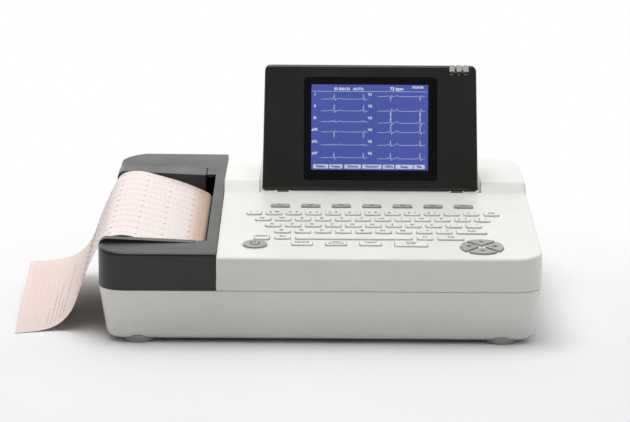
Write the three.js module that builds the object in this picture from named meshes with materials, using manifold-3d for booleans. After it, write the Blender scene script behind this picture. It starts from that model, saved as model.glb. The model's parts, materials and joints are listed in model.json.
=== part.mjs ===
// Twelve-lead ECG recorder: a low desktop casing with a keyboard, a folding display and a drawer-like
// recorder on the left from which a printed paper strip hangs. Millimetres, +Z up, the keyboard faces -Y.
// Casing coordinates have X = 0 at the middle of the casing, Y = 0 at its front face, Z = 0 on the table.
import * as THREE from "three";
import { mergeVertices } from "three/addons/utils/BufferGeometryUtils.js";
import Module from "manifold-3d";

const wasm = await Module();
wasm.setup();

const degrees = THREE.MathUtils.degToRad;

// Casing
const CASING_WIDTH = 420;
const CASING_DEPTH = 330;
const WALL = 2.5;
const CLEARANCE = 0.4;
const UNDERSIDE_Z = 3;
const SEAM_Z = 53;
const FRONT_CORNER_RADIUS = 25;
const REAR_CORNER_RADIUS = 35;
const LOWER_TAPER = 6.6;
const BOTTOM_ROUNDING = 8;
const FOOT_RADIUS = 15.5;
const FOOT_INSET_X = 38;
const FOOT_INSET_Y = 22;
const FOOT_GAP = 0.3;

// Keyboard deck, ramp and rear deck
const DECK_FRONT_Z = 85.2;
const DECK_SLOPE = degrees(5.02);
const RAMP_START_Y = 198;
const RAMP_END_Y = 214;
const REAR_DECK_Z = 112.5;
const POCKET = { left: -62, right: 164, front: 203, floor: 92 };

// Recorder, in its own frame: x, v up the slope to the rear, n above the recorder's top plane
const RECORDER_FRONT_Z = 89;
const RECORDER_SLOPE = degrees(4.6);
const RECORDER_RIGHT = -98;
const COVER_RIGHT = -118;
const COVER_FRONT_V = 31.7;
const COVER_REAR_V = 276.3;
const CHANNEL_FRONT_V = 40.5;
const CHANNEL_REAR_V = 252;
const SLOT_RIGHT = -108.3;
const COVER_LOWER_Z = 70.6;
const COVER_SIDE_X = -210.8;
const PLATEN = { x: -119.5, n: -33.6, radius: 7, front: 42, rear: 253.5 };
const GEAR_MODULE = 1.25;
const PLATEN_TEETH = 16;
const PINION_TEETH = 12;
const MESH_CLEARANCE = 0.2;
const ROLL = { x: -164, n: -60, radius: 18.5, front: 41.5, rear: 251.5 };
const PAPER_THICKNESS = 0.4;
const PAPER_VS = [41.5, 251.5];
// The strip strays as it hangs: its end comes forward, and the end's rear corner swings out.
const STRAY = { from_x: -212, to_x: -292, forward: 15, turn: 10 };

// Display, in its own frame: x, depth behind the front face, z up the face
const DISPLAY_FOOT_Y = 200.4;
const DISPLAY_TILT = degrees(15.5);
const DISPLAY = { left: -59.2, right: 160.8, bottom: 2.4, top: 131, side_taper: 2.1 };
const DISPLAY_THICKNESS = 20;
const BEZEL_DEPTH = 8;
const SHELL_WALL = 2.2;
const WINDOW = { left: -17, right: 119, bottom: 12.5, top: 118.3, corner: 4 };
const HINGE_DEPTH = 6;
const HINGE_RISE = 7;
const HINGE_PIN_RADIUS = 1.6;
const HINGE_X = [-38, 139.6];
const HINGE_NOTCH_WIDTH = 16;

// Keys, in the deck's frame: x, v up the slope to the rear, n above the deck
const KEY_GAP = 0.4;
const KEY_RISE = 1.5;
const KEY_WEB_TOP = -3.2;
const KEY_WEB_BOTTOM = -4.2;
const KEY_WIDTH = 15;
const KEY_DEPTH = 11.5;
const KEY_CORNER = 1.5;
const KEY_PITCH = 19.56;
const ROW_PITCH = 18.5;
const SPACE_ROW_V = 59;

const deckZ = (y) => DECK_FRONT_Z + Math.tan(DECK_SLOPE) * y;

// ---- solids ----

// A closed geometry as a solid that can be cut and joined.
function solid(geometry) {
  const flat = geometry.index ? geometry.toNonIndexed() : geometry;
  const bare = new THREE.BufferGeometry();
  bare.setAttribute("position", flat.getAttribute("position"));
  const merged = mergeVertices(bare, 1e-4);
  return new wasm.Manifold(
    new wasm.Mesh({
      numProp: 3,
      vertProperties: merged.attributes.position.array,
      triVerts: new Uint32Array(merged.index.array),
    }),
  );
}

// The solid's surface as a flat-shaded geometry.
function surface(body) {
  const mesh = body.getMesh();
  const geometry = new THREE.BufferGeometry();
  geometry.setAttribute("position", new THREE.BufferAttribute(new Float32Array(mesh.vertProperties), 3));
  geometry.setIndex(new THREE.BufferAttribute(new Uint32Array(mesh.triVerts), 1));
  const faceted = geometry.toNonIndexed();
  faceted.computeVertexNormals();
  return faceted;
}

const join = (...bodies) => bodies.reduce((sum, body) => sum.add(body));
const cut = (body, ...tools) => tools.reduce((rest, tool) => rest.subtract(tool), body);

function boxGeometry([x0, x1], [y0, y1], [z0, z1]) {
  const block = new THREE.BoxGeometry(x1 - x0, y1 - y0, z1 - z0);
  return block.translate((x0 + x1) / 2, (y0 + y1) / 2, (z0 + z1) / 2);
}

const box = (xs, ys, zs) => solid(boxGeometry(xs, ys, zs));

function extruded(outline, length) {
  return new THREE.ExtrudeGeometry(new THREE.Shape(outline), { depth: length, bevelEnabled: false });
}

// An outline in x, y carried from z0 to z1.
const alongZ = (outline, [z0, z1]) => solid(extruded(outline, z1 - z0).translate(0, 0, z0));

// An outline in x, z carried from y0 to y1.
const alongY = (outline, [y0, y1]) =>
  solid(extruded(outline, y1 - y0).rotateX(Math.PI / 2).translate(0, y1, 0));

// An outline in y, z carried from x0 to x1.
const alongX = (outline, [x0, x1]) =>
  solid(extruded(outline, x1 - x0).rotateX(Math.PI / 2).rotateZ(Math.PI / 2).translate(x0, 0, 0));

const points = (...pairs) => pairs.map(([a, b]) => new THREE.Vector2(a, b));

const rectangle = ([x0, x1], [y0, y1]) => points([x0, y0], [x1, y0], [x1, y1], [x0, y1]);

function circle(x, y, radius, steps) {
  return Array.from({ length: steps }, (_, i) => {
    const angle = (2 * Math.PI * i) / steps;
    return new THREE.Vector2(x + radius * Math.cos(angle), y + radius * Math.sin(angle));
  });
}

// A counter-clockwise convex outline with each corner replaced by an arc.
function rounded(corners, radii, steps) {
  return corners.flatMap((corner, i) => {
    const arriving = corner.clone().sub(corners.at(i - 1)).normalize();
    const leaving = corners[(i + 1) % corners.length].clone().sub(corner).normalize();
    const turn = Math.acos(arriving.dot(leaving));
    const radius = radii[i % radii.length];
    const start = corner.clone().addScaledVector(arriving, -radius * Math.tan(turn / 2));
    const centre = new THREE.Vector2(-arriving.y, arriving.x).multiplyScalar(radius).add(start);
    return Array.from({ length: steps + 1 }, (_, k) =>
      start.clone().rotateAround(centre, (turn * k) / steps),
    );
  });
}

// A solid skinned over level outlines of equal point counts, given from the lowest to the highest.
function loft(levels) {
  const count = levels[0].outline.length;
  const vertices = levels.flatMap(({ outline, z }) => outline.map((p) => [p.x, p.y, z]));
  const faces = [];
  for (let level = 0; level + 1 < levels.length; level += 1) {
    for (let i = 0; i < count; i += 1) {
      const [a, b] = [level * count + i, level * count + ((i + 1) % count)];
      faces.push([a, b, b + count], [a, b + count, a + count]);
    }
  }
  const top = (levels.length - 1) * count;
  for (const [a, b, c] of THREE.ShapeUtils.triangulateShape(levels[0].outline, [])) faces.push([c, b, a]);
  for (const face of THREE.ShapeUtils.triangulateShape(levels.at(-1).outline, [])) {
    faces.push(face.map((i) => i + top));
  }
  const geometry = new THREE.BufferGeometry();
  geometry.setAttribute("position", new THREE.Float32BufferAttribute(vertices.flat(), 3));
  geometry.setIndex(faces.flat());
  return solid(geometry);
}

// ---- scene graph ----

const casing = new THREE.Group();
const recorder = new THREE.Group();
recorder.position.z = RECORDER_FRONT_Z;
recorder.rotation.x = RECORDER_SLOPE;
const deck = new THREE.Group();
deck.position.z = DECK_FRONT_Z;
deck.rotation.x = DECK_SLOPE;
const display = new THREE.Group();
display.position.set(0, DISPLAY_FOOT_Y, deckZ(DISPLAY_FOOT_Y));
display.rotation.x = -DISPLAY_TILT;
casing.add(recorder, deck, display);

const matter = (color, roughness, metalness = 0) =>
  new THREE.MeshStandardMaterial({ color, roughness, metalness });
const whitePlastic = matter(0xebebe8, 0.5);
const silverPlastic = matter(0xb4b6b6, 0.5);
const darkPlastic = matter(0x3a3a36, 0.55);
const keyWhite = matter(0xe4e4e0, 0.6);
const keyGrey = matter(0x8f8f88, 0.6);
const blackPlastic = matter(0x1c1c1c, 0.5);
const rubber = matter(0x6f706e, 0.9);
const steel = matter(0xb9bbbd, 0.35, 1);
const boardGreen = matter(0x1f5a35, 0.6);
const paper = matter(0xf0dcd8, 0.8);
const glossBlack = matter(0x08080a, 0.15);
const lcdBlue = matter(0x4656b0, 0.4);
const ledGrey = matter(0x9a9a98, 0.4);
const brass = matter(0xb08d3c, 0.4, 1);

function piece(group, name, material, body) {
  const mesh = new THREE.Mesh(surface(body), material);
  mesh.name = name;
  group.add(mesh);
}

// A geometry made in the recorder's or the deck's frame, seen in casing coordinates.
const tilted = (body, group) => {
  group.updateMatrix();
  return body.transform(group.matrix.elements);
};

// ---- casing ----

// Plan outline of the casing, moved inwards by the given distance.
function plan(inset) {
  const half = CASING_WIDTH / 2 - inset;
  const corners = rectangle([-half, half], [inset, CASING_DEPTH - inset]);
  const [front, rear] = [FRONT_CORNER_RADIUS - inset, REAR_CORNER_RADIUS - inset];
  return rounded(corners, [front, front, rear, rear], 5);
}

// Taper and rounded lower edge of the lower casing, as insets of the plan outline.
function lowerBody(inset, floorZ, topZ) {
  const levels = [];
  const steps = 3;
  for (let i = 0; i <= steps; i += 1) {
    const angle = (i / steps) * (Math.PI / 2);
    levels.push({
      outline: plan(inset + LOWER_TAPER + BOTTOM_ROUNDING * (1 - Math.sin(angle))),
      z: floorZ + BOTTOM_ROUNDING * (1 - Math.cos(angle)),
    });
  }
  levels.push({ outline: plan(inset), z: topZ });
  return loft(levels);
}

const BATTERY_DOOR = { xs: [0, 120], ys: [60, 200] };
const MAINS_INLET = { xs: [-160, -132], zs: [20, 42] };
const MAINS_SWITCH = { xs: [-122, -107.4], zs: [20.7, 41.3] };
const EARTH = { x: -182, z: 31 };

function lowerCasing() {
  const shell = cut(
    lowerBody(0, UNDERSIDE_Z, SEAM_Z - 0.2),
    lowerBody(WALL, UNDERSIDE_Z + WALL, SEAM_Z + 10),
  );
  const rearWall = [CASING_DEPTH - 15, CASING_DEPTH + 5];
  return cut(
    shell,
    box(BATTERY_DOOR.xs, BATTERY_DOOR.ys, [0, UNDERSIDE_Z + 5]),
    box(MAINS_INLET.xs, rearWall, MAINS_INLET.zs),
    box(MAINS_SWITCH.xs, rearWall, MAINS_SWITCH.zs),
    alongY(circle(EARTH.x, EARTH.z, 4, 12), rearWall),
  );
}

// Profile of the upper casing's top, from the front face to the rear face, lowered by a depth.
function topProfile(drop) {
  const outline = points([-10, SEAM_Z + 0.2], [-10, deckZ(-10) - drop]);
  const rise = REAR_DECK_Z - deckZ(RAMP_START_Y);
  const steps = 6;
  for (let i = 0; i <= steps; i += 1) {
    const t = i / steps;
    const y = RAMP_START_Y + (RAMP_END_Y - RAMP_START_Y) * t;
    outline.push(new THREE.Vector2(y, deckZ(RAMP_START_Y) + rise * t * t * (3 - 2 * t) - drop));
  }
  outline.push(...points([CASING_DEPTH + 10, REAR_DECK_Z - drop], [CASING_DEPTH + 10, SEAM_Z + 0.2]));
  return outline.reverse();
}

const SIDE_OPENINGS = { patient: [[118, 162], [57, 73]], data: [[178, 262], [57, 75]] };

function upperCasing() {
  const right = CASING_WIDTH / 2;
  const left = RECORDER_RIGHT + CLEARANCE;
  const above = [SEAM_Z + 0.2, REAR_DECK_Z + 10];
  const outer = alongZ(plan(0), above).intersect(alongX(topProfile(0), [left, right + 1]));
  const hollow = alongZ(plan(WALL), [SEAM_Z - 5, REAR_DECK_Z + 10])
    .intersect(join(
      alongX(topProfile(WALL), [left - 5, right]),
      box([left - 5, right], [0, CASING_DEPTH], [SEAM_Z - 5, SEAM_Z + 1]),
    ));
  const pocketBack = CASING_DEPTH + 5;
  const pocketWall = box(
    [POCKET.left - WALL, POCKET.right + WALL],
    [POCKET.front - WALL, pocketBack],
    [POCKET.floor - WALL, REAR_DECK_Z + 5],
  );
  const pocket = box(
    [POCKET.left, POCKET.right],
    [POCKET.front, pocketBack],
    [POCKET.floor, REAR_DECK_Z + 20],
  );
  const [sillFront, sillBack] = [RAMP_START_Y - 2, POCKET.front + 1];
  const sill = points(
    [sillFront, deckZ(sillFront)],
    [sillBack, deckZ(sillBack)],
    [sillBack, REAR_DECK_Z + 5],
    [sillFront, REAR_DECK_Z + 5],
  );
  const shell = cut(outer, cut(hollow, pocketWall), pocket, alongX(sill, [POCKET.left, POCKET.right]));
  const holes = join(...allKeys().map((key) => alongZ(key.hole, [-8, 5])));
  const sockets = Object.values(SIDE_OPENINGS).map(([ys, zs]) => box([right - 10, right + 5], ys, zs));
  return cut(shell, tilted(holes, deck), ...sockets);
}

function addCasing() {
  piece(casing, "lower_casing", silverPlastic, lowerCasing());
  piece(casing, "upper_casing", whitePlastic, upperCasing());
  const [x, y] = [CASING_WIDTH / 2 - FOOT_INSET_X, FOOT_INSET_Y];
  const places = {
    foot_front_left: [-x, y],
    foot_front_right: [x, y],
    foot_rear_left: [-x, CASING_DEPTH - y - 12],
    foot_rear_right: [x, CASING_DEPTH - y - 12],
  };
  const seat = lowerBody(-FOOT_GAP, UNDERSIDE_Z - FOOT_GAP, SEAM_Z);
  for (const [name, [footX, footY]] of Object.entries(places)) {
    const sole = circle(footX, footY, FOOT_RADIUS - 1, 24);
    const body = circle(footX, footY, FOOT_RADIUS, 24);
    const stud = loft([
      { outline: sole, z: 0 },
      { outline: body, z: 1 },
      { outline: body, z: UNDERSIDE_Z + 4 },
    ]);
    piece(casing, name, rubber, cut(stud, seat));
  }
}

// ---- insides and sockets ----

function addInsides() {
  const door = BATTERY_DOOR;
  const inside = ([low, high], gap) => [low + gap, high - gap];
  piece(casing, "battery_door", silverPlastic,
    box(inside(door.xs, CLEARANCE), inside(door.ys, CLEARANCE), [UNDERSIDE_Z, UNDERSIDE_Z + WALL]));
  piece(casing, "battery_pack", blackPlastic, box(inside(door.xs, 3), inside(door.ys, 3), [11, 30]));
  const board = box([-88, 190], [60, 300], [33, 34.6]);
  const chips = [[20, 90, 24], [80, 150, 30], [-50, 120, 20], [130, 240, 26], [40, 240, 18]];
  piece(casing, "main_board", boardGreen, join(board, ...chips.map(([x, y, size]) =>
    box([x - size / 2, x + size / 2], [y - size / 2, y + size / 2], [34, 38]))));
  piece(casing, "power_supply", steel, box([-85, -15], [215, 297], [40, 72]));
  piece(deck, "keypad_board", boardGreen, box([-78, 184], [9, 166], [-8.2, -6.6]));
}

function addRearPanel() {
  const face = CASING_DEPTH - 0.4;
  const [[x0, x1], [z0, z1]] = [MAINS_INLET.xs, MAINS_INLET.zs];
  const block = box([x0 + 0.3, x1 - 0.3], [face - 24, face], [z0 + 0.3, z1 - 0.3]);
  const cavity = box([x0 + 3, x1 - 3], [face - 15, face + 1], [z0 + 3, z1 - 3]);
  const [midX, midZ] = [(x0 + x1) / 2, (z0 + z1) / 2];
  const pins = [[-7, -1.5], [7, -1.5], [0, 2.5]].map(([dx, dz]) =>
    box([midX + dx - 1, midX + dx + 1], [face - 16, face - 8], [midZ + dz - 2, midZ + dz + 2]));
  piece(casing, "mains_inlet", blackPlastic, join(cut(block, cavity), ...pins));
  piece(casing, "earth_terminal", brass, join(
    alongY(circle(EARTH.x, EARTH.z, 3.5, 12), [face - 20, face - 1]),
    alongY(circle(EARTH.x, EARTH.z, 6, 16), [face - 18, face - 14]),
  ));
}

const SWITCH_PIVOT = { y: CASING_DEPTH - 8, z: (MAINS_SWITCH.zs[0] + MAINS_SWITCH.zs[1]) / 2 };
const SWITCH_TILT = degrees(8);

// A rocker whose face is a shallow V, stored tilted to one side.
function addMainsSwitch() {
  const profile = points([-5, -6], [3.5, -9], [6.5, -9], [4.6, 0], [6.5, 9], [3.5, 9], [-5, 6]);
  const seated = profile.map((p) =>
    p.rotateAround(new THREE.Vector2(), SWITCH_TILT).add(new THREE.Vector2(SWITCH_PIVOT.y, SWITCH_PIVOT.z)));
  const [x0, x1] = MAINS_SWITCH.xs;
  piece(casing, "mains_switch", blackPlastic, alongX(seated, [x0 + 0.5, x1 - 0.5]));
}

function addSidePanel() {
  const face = CASING_WIDTH / 2 - 0.3;
  const fitted = ([low, high]) => [low + 0.3, high - 0.3];
  const [patientYs, patientZs] = SIDE_OPENINGS.patient;
  const socket = box([face - 16, face - 3], fitted(patientYs), fitted(patientZs));
  const midZ = (patientZs[0] + patientZs[1]) / 2;
  const [low, high] = [midZ - 4.2, midZ + 4.2];
  const shroud = rounded(points([124, low], [156, low], [157.5, high], [122.5, high]), [2], 2);
  piece(casing, "patient_socket", steel, join(socket, alongX(shroud, [face - 4, face])));
  const [dataYs, dataZs] = SIDE_OPENINGS.data;
  const panel = box([face - 16, face], fitted(dataYs), fitted(dataZs));
  const lanPort = box([face - 13, face + 1], [184, 198], [60, 72]);
  const usbPorts = [212, 236].map((y) => box([face - 13, face + 1], [y, y + 13.2], [62, 68]));
  piece(casing, "data_port_panel", blackPlastic, cut(panel, lanPort, ...usbPorts));
}

// ---- recorder ----

function recorderFrame() {
  const slab = (xs, vs, ns) => tilted(box(xs, vs, ns), recorder);
  const left = -CASING_WIDTH / 2 - 5;
  const whole = [-20, CASING_DEPTH + 20];
  const above = [SEAM_Z + 0.2, 140];
  const outer = alongZ(plan(0), above).intersect(slab([left, RECORDER_RIGHT], whole, [-120, 0]));
  const hollow = alongZ(plan(WALL), [SEAM_Z - 5, 140]).intersect(slab([left, 0], whole, [-140, -3]));
  const divider = 2.5;
  const frontDivider = slab([left, COVER_RIGHT], [COVER_FRONT_V - divider, COVER_FRONT_V], [-140, 0]);
  const rearDivider = slab([left, COVER_RIGHT], [COVER_REAR_V, COVER_REAR_V + divider], [-140, 0]);
  const beam = slab([SLOT_RIGHT, RECORDER_RIGHT], whole, [-8, 0]);
  const coverOpening = slab([left, COVER_RIGHT + 0.3], [COVER_FRONT_V, COVER_REAR_V], [-60, 10])
    .intersect(box([left, 0], [-20, CASING_DEPTH], [COVER_LOWER_Z, 140]));
  const slotVs = [CHANNEL_FRONT_V - 1.8, CHANNEL_REAR_V + 2.2];
  const slot = slab([COVER_RIGHT - 1, SLOT_RIGHT], slotVs, [-20, 10]);
  return cut(outer, cut(hollow, frontDivider, rearDivider, beam), coverOpening, slot);
}

// Line of the cover's surface in x, n: from the slot end up to the left edge, round it and down the side.
function coverLine(slotN, leftN, offset) {
  const radius = 7.8;
  const centre = new THREE.Vector2(COVER_SIDE_X + radius, leftN - radius);
  const line = points([COVER_RIGHT - 0.5, slotN - offset]);
  const steps = 5;
  for (let i = 0; i <= steps; i += 1) {
    const angle = Math.PI / 2 + (i / steps) * (Math.PI / 2);
    const spoke = new THREE.Vector2(Math.cos(angle), Math.sin(angle)).multiplyScalar(radius - offset);
    line.push(spoke.add(centre));
  }
  line.push(new THREE.Vector2(COVER_SIDE_X + offset, -50));
  return line;
}

const FLOOR_LINE = [-23.5, -2.5];
const RIM_LINE = [0, 3.8];

function coverSheet([slotN, leftN]) {
  return [...coverLine(slotN, leftN, 0), ...coverLine(slotN, leftN, WALL).reverse()];
}

// The region between the rim's surface and the channel floor's surface, which closes a rim's side.
function rimSide() {
  return [...coverLine(...RIM_LINE, 0), ...coverLine(...FLOOR_LINE, 1).reverse()];
}

function recorderCover() {
  const [front, rear] = [COVER_FRONT_V + 0.5, COVER_REAR_V - 0.5];
  const side = 2;
  const rims = [[front, CHANNEL_FRONT_V], [CHANNEL_REAR_V, rear]].map(([v0, v1]) => join(
    alongY(coverSheet(RIM_LINE), [v0, v1]),
    alongY(rimSide(), [v0, v0 + side]),
    alongY(rimSide(), [v1 - side, v1]),
    box([COVER_RIGHT - 2.5, COVER_RIGHT - 0.5], [v0, v1], [-20.5, -0.5]),
  ));
  const floor = alongY(coverSheet(FLOOR_LINE), [CHANNEL_FRONT_V - 1, CHANNEL_REAR_V + 1]);
  const { x, n } = PLATEN;
  const cheek = points(
    [x - 7.5, -3.5],
    [x - 7.5, n - 4],
    [x - 4.5, n - 6.5],
    [x + 4.5, n - 6.5],
    [x + 5.5, n - 5],
    [x + 5.5, n + 4],
    [COVER_RIGHT - 0.5, n + 6.5],
    [COVER_RIGHT - 0.5, -2],
  );
  const shaftHole = alongY(circle(x, n, 3.2, 16), [0, 300]);
  const cheeks = [[34.6, 38], [263, 266]].map((vs) => alongY(cheek, vs));
  const latchHoles = LATCHES.map(({ v }) =>
    box([-215, -206], [v - LATCH_WIDTH / 2 - CLEARANCE, v + LATCH_WIDTH / 2 + CLEARANCE], [-20.4, -12.6]));
  const whole = join(floor, ...rims, ...cheeks.map((c) => cut(c, shaftHole)));
  recorder.updateMatrix();
  const lowerLimit = box([-230, -205], [-20, CASING_DEPTH + 20], [0, COVER_LOWER_Z + CLEARANCE])
    .transform(recorder.matrix.clone().invert().elements);
  return cut(whole, lowerLimit, ...latchHoles);
}

const LATCH_WIDTH = 24;
const LATCHES = [{ name: "front_latch", v: 62 }, { name: "rear_latch", v: 234 }];

// Push buttons in the cover's left side, kept in by an inner flange.
function addLatches() {
  for (const { name, v } of LATCHES) {
    const [v0, v1] = [v - LATCH_WIDTH / 2, v + LATCH_WIDTH / 2];
    piece(recorder, name, keyGrey, join(
      box([-212.6, -207], [v0, v1], [-20, -13]),
      box([-207.9, -206.6], [v0 - 2, v1 + 2], [-21, -12]),
    ));
  }
}

// Toothed outline with straight flanks, thinner than half a pitch so that it runs with play.
function toothed(x, y, teeth, firstTooth) {
  const pitchRadius = (GEAR_MODULE * teeth) / 2;
  const [root, tip] = [pitchRadius - GEAR_MODULE * 1.1, pitchRadius + GEAR_MODULE * 0.8];
  const pitch = (2 * Math.PI) / teeth;
  const profile = [[-0.28, root], [-0.12, tip], [0.12, tip], [0.28, root]];
  return Array.from({ length: teeth }, (_, tooth) => profile.map(([share, radius]) => {
    const angle = firstTooth + (tooth + share) * pitch;
    return new THREE.Vector2(x + radius * Math.cos(angle), y + radius * Math.sin(angle));
  })).flat();
}

const PINION_X = PLATEN.x + (GEAR_MODULE * (PLATEN_TEETH + PINION_TEETH)) / 2 + MESH_CLEARANCE;

function addPlaten() {
  const { x, n, radius, front, rear } = PLATEN;
  const shaftRadius = 3;
  const bore = alongY(circle(x, n, shaftRadius + 0.1, 16), [0, 300]);
  piece(recorder, "platen_roller", blackPlastic, cut(alongY(circle(x, n, radius, 32), [front, rear]), bore));
  piece(recorder, "platen_shaft", steel, alongY(circle(x, n, shaftRadius, 16), [34, 268]));
  piece(recorder, "platen_gear", keyWhite, cut(alongY(toothed(x, n, PLATEN_TEETH, 0), [256, 261]), bore));
  const motorFront = 269;
  const half = Math.PI / PINION_TEETH;
  piece(recorder, "motor_pinion", brass, join(
    alongY(toothed(PINION_X, n, PINION_TEETH, Math.PI + half), [255.8, 261.2]),
    alongY(circle(PINION_X, n, 2, 12), [261, motorFront - 0.3]),
  ));
  piece(recorder, "stepper_motor", steel, alongY(circle(PINION_X, n, 12.5, 24), [motorFront, 295]));
  const headLeft = x + radius + 0.7;
  piece(recorder, "print_head", blackPlastic, join(
    box([headLeft, headLeft + 7], [38.5, 253.5], [n - 8, n + 7.5]),
    box([headLeft + 6, RECORDER_RIGHT - 2], [60, 230], [n - 14, n - 4]),
  ));
}

function addPaperRoll() {
  const { x, n, radius, front, rear } = ROLL;
  const spindleRadius = 5;
  const core = alongY(circle(x, n, spindleRadius + 0.4, 20), [0, 300]);
  piece(recorder, "paper_roll", paper, cut(alongY(circle(x, n, radius, 36), [front, rear]), core));
  piece(recorder, "paper_spindle", keyWhite, alongY(circle(x, n, spindleRadius, 20), [37, 256]));
}

// An open trough round the lower half of the roll, with a slot for the spindle in each end wall.
function addPaperTray() {
  const { x, n, radius } = ROLL;
  const trough = (inner) => {
    const outline = points([x + inner, n + 18], [x - inner, n + 18]);
    const steps = 12;
    for (let i = 0; i <= steps; i += 1) {
      const angle = Math.PI + (i / steps) * Math.PI;
      outline.push(new THREE.Vector2(x + inner * Math.cos(angle), n + inner * Math.sin(angle)));
    }
    return outline;
  };
  const [gap, wall] = [1.8, 1.4];
  const notch = 5.8;
  const inside = [40.2, 252.8];
  piece(recorder, "paper_tray", blackPlastic, cut(
    alongY(trough(radius + gap + wall), [38.6, 254.4]),
    alongY(trough(radius + gap), inside),
    box([x - radius, x + radius], inside, [n, n + 30]),
    alongY(circle(x, n, notch, 16), [30, 260]),
    box([x - notch, x + notch], [30, 260], [n, n + 30]),
  ));
}

// The printed strip: out of the slot, over the cover's left edge and down on to the table.
function addPaperStrip() {
  const route = new THREE.SplineCurve(points(
    [-112.9, -24.5], [-114.5, -20.5], [-124.5, -15], [-145, -6.9], [-171, 0.6], [-187, 4], [-199, 3],
    [-206.3, -0.1], [-211.8, -8], [-219, -22], [-226.5, -40], [-232.5, -57.5], [-238.5, -71.5],
    [-247, -82], [-258, -88.5], [-272, -90.9], [-292, -90.9],
  ));
  const steps = 44;
  const half = PAPER_THICKNESS / 2;
  const side = (sign) => Array.from({ length: steps + 1 }, (_, i) => {
    const along = route.getTangentAt(i / steps);
    return route.getPointAt(i / steps).add(new THREE.Vector2(-along.y, along.x).multiplyScalar(sign * half));
  });
  const strip = alongY([...side(1), ...side(-1).reverse()], PAPER_VS);
  piece(recorder, "paper_sheet", paper, strip.warp((at) => {
    const hang = Math.max(0, (STRAY.from_x - at[0]) / (STRAY.from_x - STRAY.to_x)) ** 2;
    at[0] -= STRAY.turn * hang * ((at[1] - PAPER_VS[0]) / (PAPER_VS[1] - PAPER_VS[0]));
    at[1] -= STRAY.forward * hang;
  }));
}

function addRecorder() {
  piece(casing, "recorder_frame", darkPlastic, recorderFrame());
  piece(recorder, "recorder_cover", darkPlastic, recorderCover());
  addLatches();
  addPlaten();
  addPaperRoll();
  addPaperTray();
  addPaperStrip();
}

// ---- display ----

function displayOutline(inset, steps) {
  const { left, right, bottom, top, side_taper } = DISPLAY;
  return rounded(points(
    [left + inset, bottom + inset],
    [right - inset, bottom + inset],
    [right - side_taper - inset, top - inset],
    [left + side_taper + inset, top - inset],
  ), [3 - inset * 0.8, 3 - inset * 0.8, 6 - inset, 6 - inset], steps);
}

const notchSpan = (x, extra = 0) => [x - HINGE_NOTCH_WIDTH / 2 - extra, x + HINGE_NOTCH_WIDTH / 2 + extra];

const LIGHT_BAR = { xs: [130.6, 151.6], depths: [1.2, 7], zs: [123.4, 131.2] };

function windowOutline(inset) {
  const { left, right, bottom, top, corner } = WINDOW;
  const corners = rectangle([left + inset, right - inset], [bottom + inset, top - inset]);
  return rounded(corners, Array(4).fill(corner - inset), 4);
}

function displayBezel() {
  const notch = (x) => box(notchSpan(x), [SHELL_WALL + 0.1, BEZEL_DEPTH + 1], [0, HINGE_RISE + 7]);
  return cut(
    alongY(displayOutline(0, 4), [0, BEZEL_DEPTH]),
    alongY(displayOutline(SHELL_WALL, 4), [SHELL_WALL, BEZEL_DEPTH + 1]),
    alongY(windowOutline(0), [-1, SHELL_WALL + 1]),
    box(LIGHT_BAR.xs, [-1, LIGHT_BAR.depths[1] - 0.4], [LIGHT_BAR.zs[0], DISPLAY.top + 1]),
    ...HINGE_X.map(notch),
  );
}

function displayBack() {
  const start = BEZEL_DEPTH + 0.3;
  const shell = cut(
    alongY(displayOutline(0, 4), [start, DISPLAY_THICKNESS]),
    alongY(displayOutline(SHELL_WALL, 4), [start - 1, DISPLAY_THICKNESS - SHELL_WALL]),
  );
  const boss = (x0) => box([x0, x0 + 4], [2.7, DISPLAY_THICKNESS - 1], [4.9, 12]);
  const bosses = HINGE_X.flatMap((x) => [boss(notchSpan(x)[0] - 4), boss(notchSpan(x)[1])]);
  const notches = HINGE_X.map((x) => box(notchSpan(x), [0, DISPLAY_THICKNESS + 1], [0, HINGE_RISE + 7]));
  const bores = HINGE_X.map((x) => pinRod(x, HINGE_PIN_RADIUS + 0.1, 20));
  return cut(join(shell, ...bosses), ...notches, ...bores);
}

const pinRod = (x, radius, reach) =>
  alongX(circle(HINGE_DEPTH, HINGE_RISE, radius, 16), [x - reach, x + reach]);

// The bracket stands on the pocket's floor and its eye goes round the pin.
function hingeBracket(x) {
  display.updateMatrix();
  const pivot = new THREE.Vector3(0, HINGE_DEPTH, HINGE_RISE).applyMatrix4(display.matrix);
  const xs = [x - 6, x + 6];
  const eye = alongX(circle(pivot.y, pivot.z, 3.3, 20), xs);
  const stem = box(xs, [pivot.y - 2.4, pivot.y + 3], [POCKET.floor + 2, pivot.z]);
  const base = box(xs, [pivot.y - 3, pivot.y + 3.4], [POCKET.floor + 0.3, POCKET.floor + 2.5]);
  const pinHole = circle(pivot.y, pivot.z, HINGE_PIN_RADIUS + 0.15, 16);
  return cut(join(eye, stem, base), alongX(pinHole, [x - 10, x + 10]));
}

// Three small lamps that wrap over the display's top edge, on one carrier strip.
function lightBar() {
  const { xs, depths, zs } = LIGHT_BAR;
  const lamp = (x) => box([x, x + 4.8], [-0.2, depths[1] - 0.8], [zs[0] + 1.2, zs[1]]);
  const strip = box([xs[0] + 0.4, xs[1] - 0.4], [depths[0], depths[1] - 0.8], [zs[0] + 0.4, zs[1] - 0.6]);
  return join(strip, ...[131.6, 138.6, 145.6].map(lamp));
}

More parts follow.
